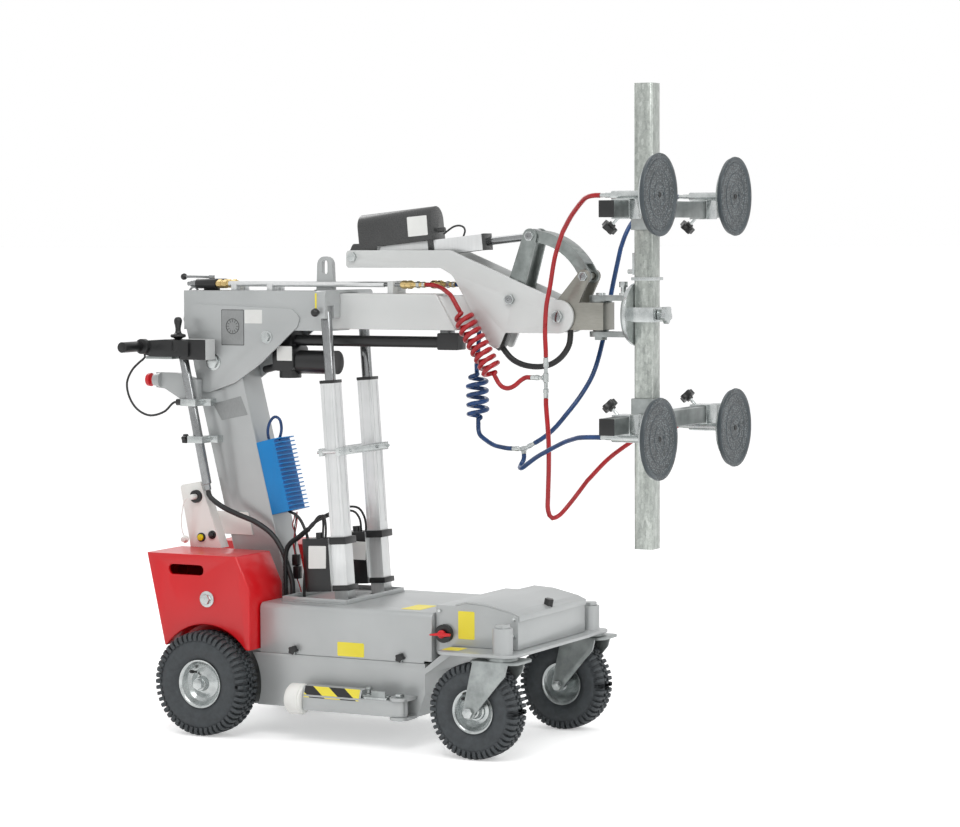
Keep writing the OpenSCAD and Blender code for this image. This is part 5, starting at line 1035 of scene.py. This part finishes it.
def makeFittings():
    # tee and wye with their nipples, between the hoses
    whole = [(0.1, -51)] + [(a, -b) for a, b in teeHalf] + teeHalf[::-1] + [(0.1, 51)]
    tee = turned("redTee", whole, teeCentre, (0, 0, 1), 20)
    side = turned("redTeeArm", teeArm, teeCentre, (-1, 0, 0), 20)
    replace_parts(finished(joined("redTee", [tee, side]), brightZinc, "side_head"), "branch_hoses")
    wye = [turned(name, outline, wyeCentre, axis, 20) for name, outline, axis in (
        ("blueWye", wyeBall, (0, 0, 1)), ("wyeUp", wyeBranch, (0.8817, 0.0462, 0.4695)),
        ("wyeBack", wyeBranch, (-0.9962, 0.0872, 0)), ("wyeDown", wyeStub, (0, 0, -1)))]
    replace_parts(finished(joined("blueWye", wye), brightZinc, "side_head"), "branch_hoses")
    # knurled nuts and hexagons on the air pipes' front couplings
    for name, x, y in (("redCoupling", 459, -22), ("blueCoupling", 522, 22)):
        nut = turned(name, nutOutline, (x + 3, y, airLineZ), (1, 0, 0), 12)
        collar = turned(name + "Collar", collarOutline, (x + 44, y, airLineZ), (1, 0, 0), 6)
        tip = turned(name + "Tip", tipOutline, (x + 61, y, airLineZ), (1, 0, 0), 20)
        piece = finished(joined(name, [nut, collar, tip]), brassFinish, "jib", 20)
        painted(piece, brightZinc, lambda px, py, pz, x=x: px > x + 43)
    for side, tag in ((-1, "Right"), (1, "Left")):
        rear = turned("valveCoupling" + tag, rearNut, (-97, side * 22, airLineZ), (1, 0, 0), 6)
        finished(rear, brassFinish, "boom", 20)
        quick = turned("quickCoupling" + tag, quickOutline, (-182, side * 22, airLineZ), (1, 0, 0), 24)
        finished(quick, hardChrome, "boom")


padFaceX = 1275.9
padRingRadii = (84, 58, 30)
padPlaces = (("UpperRight", "upper_right_pad", -232, 1381), ("UpperLeft", "upper_left_pad", 232, 1381),
             ("LowerRight", "lower_right_pad", -232, 801), ("LowerLeft", "lower_left_pad", 232, 801))


def makePadFaces():
    # moulded rings, the middle port and the small test port on each pad
    for tag, body, y, z in padPlaces:
        parts = []
        for r in padRingRadii:
            outline = [(r - 1.4, 0), (r - 0.8, 0.9), (r + 0.8, 0.9), (r + 1.4, 0)]
            parts.append(turned("padRing", outline, (padFaceX, y, z), (1, 0, 0), 72))
        for shift, size in ((0, 7), (24, 4.5)):
            outline = [(size, 0), (size, 1.2), (size - 1.8, 1.4), (size - 2.4, 0.2), (0.1, 0.2)]
            parts.append(turned("padPort", outline, (padFaceX, y + shift, z + shift * 0.1), (1, 0, 0), 24))
        rings = finished(joined("padRings" + tag, parts), padGrey, body)
        # the middle port's shallow dip is painted black: painted shade standing for the depth of its hole
        painted(rings, blackPlastic, lambda px, py, pz, y=y, z=z: math.hypot(py - y, pz - z) < 8.5)


# bellows, collar and pear-shaped knob
stickOutline = [(0.1, 0), (5, 0.4), (7.4, 1.8), (8.6, 4), (11.6, 6), (10, 8), (14, 10), (19, 11.5), (20.4, 13),
                (20.4, 17), (18.5, 19.5), (12.5, 20.5), (9, 23), (7.3, 28), (7.2, 35), (8.6, 43), (10.4, 50),
                (10.9, 55), (9.8, 60), (6.5, 64), (2.5, 65), (0.1, 65)]
wellOutline = [(0.1, 0), (15.5, 0), (16.5, 1), (16.5, 26), (15.5, 27), (0.1, 27)]
keyBlade = [(643.5, 292), (664, 292.5), (684, 291.5), (700.5, 293), (700.5, 299), (684, 300.5), (664, 299.5),
            (643.5, 296)]
keyCollar = [(0.1, 0), (7.8, 0), (7.8, 14), (10, 15), (10, 21), (8, 23), (0.1, 23)]


def makeStick():
    stick = turned("joystickLever", stickOutline, (-177, -95, 1009.15), (0, 0, 1), 36)
    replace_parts(finished(stick, blackPlastic, "stick", 50), "joystick")
    well = turned("joystickWell", wellOutline, (-166, -115.5, 985.5), (0, 0, 1), 36)
    finished(well, blackPlastic, "handle")
    # isolator key: a tapered blade across its collar
    blade = bevelled(pressed("isolatorBlade", keyBlade, "side", -223.5, -214.5), 1.5)
    collar = turned("isolatorCollar", keyCollar, (672, -194, 296), (0, -1, 0), 28)
    key = finished(joined("isolatorKey", [blade, collar]), redPlastic, "isolator")
    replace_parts(key, "isolator_key")


liftBodies = ("lift_cylinders", "chassis")
conduitLine = [(215, -86, 528), (198, -86, 516), (181, -85, 503), (160, -84, 490), (146, -83, 472), (141, -82, 440),
               (140, -81, 400), (140, -80, 372), (140, -80, 348)]
# lead, thickness, finish, body or bodies, how many points, corners
motorLeads = (
    ("motorLeadA", 6, blackRubber, liftBodies, 26, [
        (265, -100, 507), (265, -99, 522), (265, -97, 545), (260, -95, 564), (248, -92, 562), (227, -88, 540),
        (212, -86, 526)]),
    ("motorLeadB", 6, blackRubber, liftBodies, 26, [
        (275, -104, 505), (276, -103, 524), (274, -101, 547), (266, -97, 566), (252, -94, 560), (230, -91, 537),
        (214, -89, 524)]),
    ("motorLeadC", 6, blackRubber, liftBodies, 32, [
        (268, 94, 507), (268, 92, 524), (266, 88, 543), (256, 80, 560), (238, 62, 564), (220, 30, 556),
        (208, -20, 545), (206, -60, 532), (209, -83, 521)]),
    ("motorLeadD", 6, blackRubber, liftBodies, 32, [
        (280, 98, 506), (281, 96, 526), (278, 92, 548), (266, 84, 570), (244, 64, 574), (222, 30, 564),
        (204, -20, 548), (201, -60, 531), (206, -81, 517)]),
)
wiring = (
    ("chargerLead", 8, blackRubber, "chassis", 34, [
        (124, -34, 566), (134, -38, 563), (148, -44, 560), (168, -50, 546), (182, -54, 526), (193, -58, 505),
        (196, -60, 480), (192, -61, 440), (187, -62, 400), (185, -62, 370), (185, -62, 347)]),
    ("redWireA", 3.4, redHose, "chassis", 24, [
        (127, -14, 562), (128, -14, 549), (122, -14, 527), (129, -15, 509), (124, -16, 480), (131, -17, 455),
        (136, -19, 448)]),
    ("redWireB", 3.4, redHose, "chassis", 24, [
        (131, -6, 563), (131, -6, 549), (131, -7, 535), (126, -8, 506), (124, -12, 480), (129, -17, 462),
        (134, -22, 449)]),
    ("redWireC", 3.4, redHose, "chassis", 20, [
        (138, -20, 388), (143, -20, 376), (148, -20, 362), (150, -20, 354), (150, -20, 346.5)]),
    ("blackWire", 3.4, blackRubber, "chassis", 22, [
        (136, -22, 562), (137, -22, 545), (133, -22, 520), (138, -23, 495), (135, -24, 470), (139, -25, 452)]),
)
loops = (
    ("chargerLoop", 8, blueHose, "chassis", 30, [
        (60, -20, 742), (54, -20, 757), (52, -20, 776), (60, -20, 800), (74, -20, 812), (88, -20, 806),
        (94, -20, 786), (92, -20, 768), (86, -20, 752)]),
    ("tiltMotorLead", 5, blackRubber, "tilt_cylinder", 26, [
        (576, -10, 1290), (590, -10, 1300), (606, -10, 1309), (622, -10, 1311), (634, -10, 1306), (637, -10, 1297),
        (634, -10, 1288), (630, -10, 1276)]),
    ("socketTether", 3, whitePlastic, "chassis", 22, [
        (-148, -104, 596), (-156, -106, 585), (-163, -106, 560), (-166, -106, 530), (-163, -105, 505),
        (-158, -104, 494)]),
)
capOutline = [(0.1, 0), (9, 0), (10, 2), (10, 6), (8.5, 7), (7, 16), (0.1, 17)]


def makeCables():
    def laid(rows):
        for name, diameter, finish, bodies, count, corners in rows:
            hose(name, smoothRoute(corners, count), diameter, finish, bodies)

    laid(motorLeads)
    hose("motorConduit", smoothRoute(conduitLine, 34), 10, blackRubber, "chassis", sides=3)
    ribbed("motorConduitRibs", conduitLine, 6.8, 3.6, "chassis")
    laid(wiring)
    for name, low, high, shift in (("plugUpper", 422, 452, 0), ("plugLower", 388, 421, 3)):
        outline = rounded(rect(129 + shift, 147 + shift, low, high), 3, 3)
        plug = bevelled(pressed(name, outline, "side", -31, -13), 1.2)
        finished(plug, blackPlastic, "chassis")
    laid(loops)
    cap = turned("socketCap", capOutline, (-158, -96, 486), (0, -1, 0), 28)
    finished(cap, whitePlastic, "chassis")


pan = {"x": (172, 365), "y": 150, "sheet": 3, "base": 346.1, "top": 358, "lipOut": 156, "lipTop": 348.6}


def makePan():
    # folded pan round the lift tubes, on the deck
    (x0, x1), y, sheet = pan["x"], pan["y"], pan["sheet"]
    walls = [pressed("panWall", rect(*outline), "plan", pan["base"], pan["top"]) for outline in (
        (x0, x0 + sheet, -y, y), (x1 - sheet, x1, -y, y),
        (x0 + sheet, x1 - sheet, -y, -y + sheet), (x0 + sheet, x1 - sheet, y - sheet, y))]
    lip = pressed("panLip", rect(x0, x1, -pan["lipOut"], -y), "plan", pan["base"], pan["lipTop"])
    walls += [lip, copied(lip, mirrorY=True)]
    finished(bevelled(joined("deckPan", walls), 0.8), greyCoat, "chassis")


tubeRibs = {"from": 236, "to": 606, "wide": 1.6, "proud": 0.8,
            "places": ((-12, -20.1), (12, -20.1), (-12, 20.1), (12, 20.1), (20.1, -12), (20.1, 12))}


def makeTubeRibs():
    # extruded ribs down the faces of the lift tubes
    way = liftHead - liftFoot
    for side, tag in ((-1, "Right"), (1, "Left")):
        ribs = []
        for x, y in tubeRibs["places"]:
            a, b = tubeRibs["wide"], tubeRibs["proud"]
            if abs(x) > abs(y):
                a, b = b, a
            outline = [(p - originShift, q) for p, q in rect(x - a, x + a, y - b, y + b)]
            ribs.append(pressed("rib", outline, "plan", tubeRibs["from"], tubeRibs["to"]))
        piece = settle(joined("liftRibs" + tag, ribs), (liftFoot.x, side * 95, liftFoot.y), (way.x, 0, way.y))
        finished(piece, anodised, "lift_cylinders")


ringStud = [(0.1, 0), (8, 0), (8, 3), (5, 4), (5, 8), (0.1, 8)]
latchKnob = [(0.1, 0), (8, 0), (8, 3), (5, 5), (5, 12), (9, 14), (9, 18), (7, 20), (0.1, 20)]
# domed pin heads: place, how far out, radius, body
pinHeads = (("leverPivot", (782, 1126), 54.2, 17, "tilt_lever"), ("leverTop", (831, 1284), 39.2, 15, "tilt_lever"),
            ("headPivot", (915, 1084), 56.2, 19, "head"), ("linkEnd", (980, 1184), 40.2, 15, "head"))
coverScrews = (("coverScrewA", 656, 352), ("coverScrewB", 866, 300), ("coverScrewC", 866, 342))


def makeSmallParts():
    # lifting ring at the boom's rear, on its stud
    wire = [(13 + 3 * math.cos(k * math.pi / 6), 3 * math.sin(k * math.pi / 6)) for k in range(12)]
    loop = turned("rearRing", wire, (-188, 0, 1138), (0, 1, 0), 40, True)
    stud = turned("rearRingStud", ringStud, (-188, 0, 1119), (0, 0, 1), 24)
    finished(joined("rearRing", [loop, stud]), hardChrome, "boom")
    # pivot washers with domed pin heads on the plates' outer faces
    for name, place, out, size, body in pinHeads:
        for side, tag in ((-1, "Right"), (1, "Left")):
            outline = [(size * 0.62, 0), (size * 0.6, 1.2), (size * 0.42, 2.2), (size * 0.2, 2.4), (size * 0.16, 1.4),
                       (0.1, 1.4)]
            dome = turned(name + tag, outline, (place[0], side * out, place[1]), (0, side, 0), 28)
            finished(dome, hardChrome, body)
    # latch levers on the support arms
    for side, tag in ((-1, "Right"), (1, "Left")):
        outline = [(474, side * 264), (498, side * 264), (546, side * 257), (546, side * 247), (474, side * 247)]
        leaf = bevelled(pressed("latchLeaf", outline, "plan", 134.1, 138), 0.8)
        knob = turned("latchKnob", latchKnob, (488, side * 255, 138), (0, 0, 1), 24)
        edge = [(side * 265, 134), (side * 265, 150), (side * 262.5, 150), (side * 262.5, 134)]
        lip = bevelled(pressed("latchLip", edge, "front", 500, 540), 0.5, 1)
        finished(joined("latch" + tag, [leaf, knob, lip]), zinc, "support_" + tag.lower())
    # zinc plate under the control head, and its clamp screws
    tray = bevelled(pressed("headTray", rounded(rect(-264, -182, -120, -82), 3, 2), "plan", 963.2, 970.4), 0.8)
    finished(tray, zinc, "handle")
    for z in (1006, 978):
        finished(boltHead("headScrew", (-146, -118, z), (0, -1, 0), 8, 3), brightZinc, "handle")
    # cover screws along the deck and the lid's edge
    for name, x, z in coverScrews:
        finished(boltHead(name, (x, -190, z), (0, -1, 0), 9, 3), brightZinc, "chassis")


makeMarks()
print("marks made")
makeFittings()
makePadFaces()
makeStick()
print("fittings made")
makeCables()
makePan()
makeTubeRibs()
makeSmallParts()
print("small parts made")


# ---- room and light

room = {"floorSize": 400, "floorGlow": 0.4, "lowSky": 0.32, "highSky": 0.88, "dimArea": 0.35, "brightArea": 1.35}
lamps = (
    # name, place, what it faces, size, watts
    ("keyLamp", (1.4, -3.4, 4.4), (0, 0, 0.6), 2.2, 76),
    ("fillLamp", (4.4, -0.6, 3.2), (0.2, 0, 0.8), 2.2, 60),
    ("rearLamp", (-3.4, 2.2, 3.4), (0, 0, 0.8), 2.4, 40),
)


def plainRays(tree):
    # 1 for rays from the camera and for those mirrored in metal or passed through, 0 for the rest
    rays = put(tree, "LightPath").outputs
    mirrored = put(tree, "Math", {"operation": "ADD"}, {0: rays["Is Camera Ray"], 1: rays["Is Glossy Ray"]})
    return put(tree, "Math", {"operation": "ADD", "use_clamp": True},
               {0: mirrored.outputs[0], 1: rays["Is Transmission Ray"]}).outputs[0]


def makeFloor():
    # matt floor: a little light of its own towards the camera keeps it white, and the object's shadow stays
    bpy.ops.object.select_all(action="DESELECT")
    bpy.ops.mesh.primitive_plane_add(size=room["floorSize"], location=(0, 0, -0.0005))
    floor = bpy.context.active_object
    floor.name = "floor"
    bpy.ops.object.transform_apply(location=True)
    material, tree, shader, place = newMaterial("paleFloor", {"Roughness": 1.0, "Specular IOR Level": 0.0})
    grain = put(tree, "TexNoise", None, {"Vector": place, "Scale": 3, "Detail": 2})
    coloured(tree, shader, grain.outputs["Fac"], [(0.3, "#fcfcfc"), (0.7, "#ffffff")])
    glow = put(tree, "Math", {"operation": "MULTIPLY"}, {0: plainRays(tree), 1: room["floorGlow"]})
    tree.links.new(glow.outputs[0], shader.inputs["Emission Strength"])
    shader.inputs["Emission Color"].default_value = (1, 1, 1, 1)
    floor.data.materials.append(material)
    floor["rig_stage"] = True


def makeStudio():
    world = bpy.data.worlds.new("studio")
    bpy.context.scene.world = world
    world.use_nodes = True
    tree = world.node_tree
    tree.nodes.clear()
    way = put(tree, "TexCoord").outputs["Generated"]
    parts = put(tree, "SeparateXYZ", None, {"Vector": way})
    ramp = put(tree, "MapRange", None, {"Value": parts.outputs["Z"], "From Min": -0.1, "From Max": 0.8,
                                        "To Min": room["lowSky"], "To Max": room["highSky"]})
    # large bright and dim areas round the studio, so that the light falls unevenly
    areas = put(tree, "TexNoise", None, {"Vector": way, "Scale": 1.9, "Detail": 0})
    gain = put(tree, "MapRange", None, {"Value": areas.outputs["Fac"], "From Min": 0.4, "From Max": 0.6,
                                        "To Min": room["dimArea"], "To Max": room["brightArea"]})
    power = put(tree, "Math", {"operation": "MULTIPLY"}, {0: ramp.outputs[0], 1: gain.outputs[0]})
    soft = put(tree, "Background", None, {"Color": (1, 1, 1, 1), "Strength": power.outputs[0]})
    plain = put(tree, "Background", None, {"Color": (1, 1, 1, 1), "Strength": 1.0})
    both = put(tree, "MixShader", None, {0: plainRays(tree), 1: soft.outputs[0], 2: plain.outputs[0]})
    put(tree, "OutputWorld", None, {"Surface": both.outputs[0]})
    for name, place, aim, size, power in lamps:
        bpy.ops.object.light_add(type="AREA", location=place)
        lamp = bpy.context.active_object
        lamp.name = name
        lamp.data.size, lamp.data.energy = size, power
        lamp.rotation_euler = (Vector(aim) - Vector(place)).to_track_quat("-Z", "Y").to_euler()


makeFloor()
makeStudio()
bpy.context.scene.view_settings.view_transform = "Standard"
print("room and light made")

[[list(corner) for corner in box] for box in (cadBox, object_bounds())]
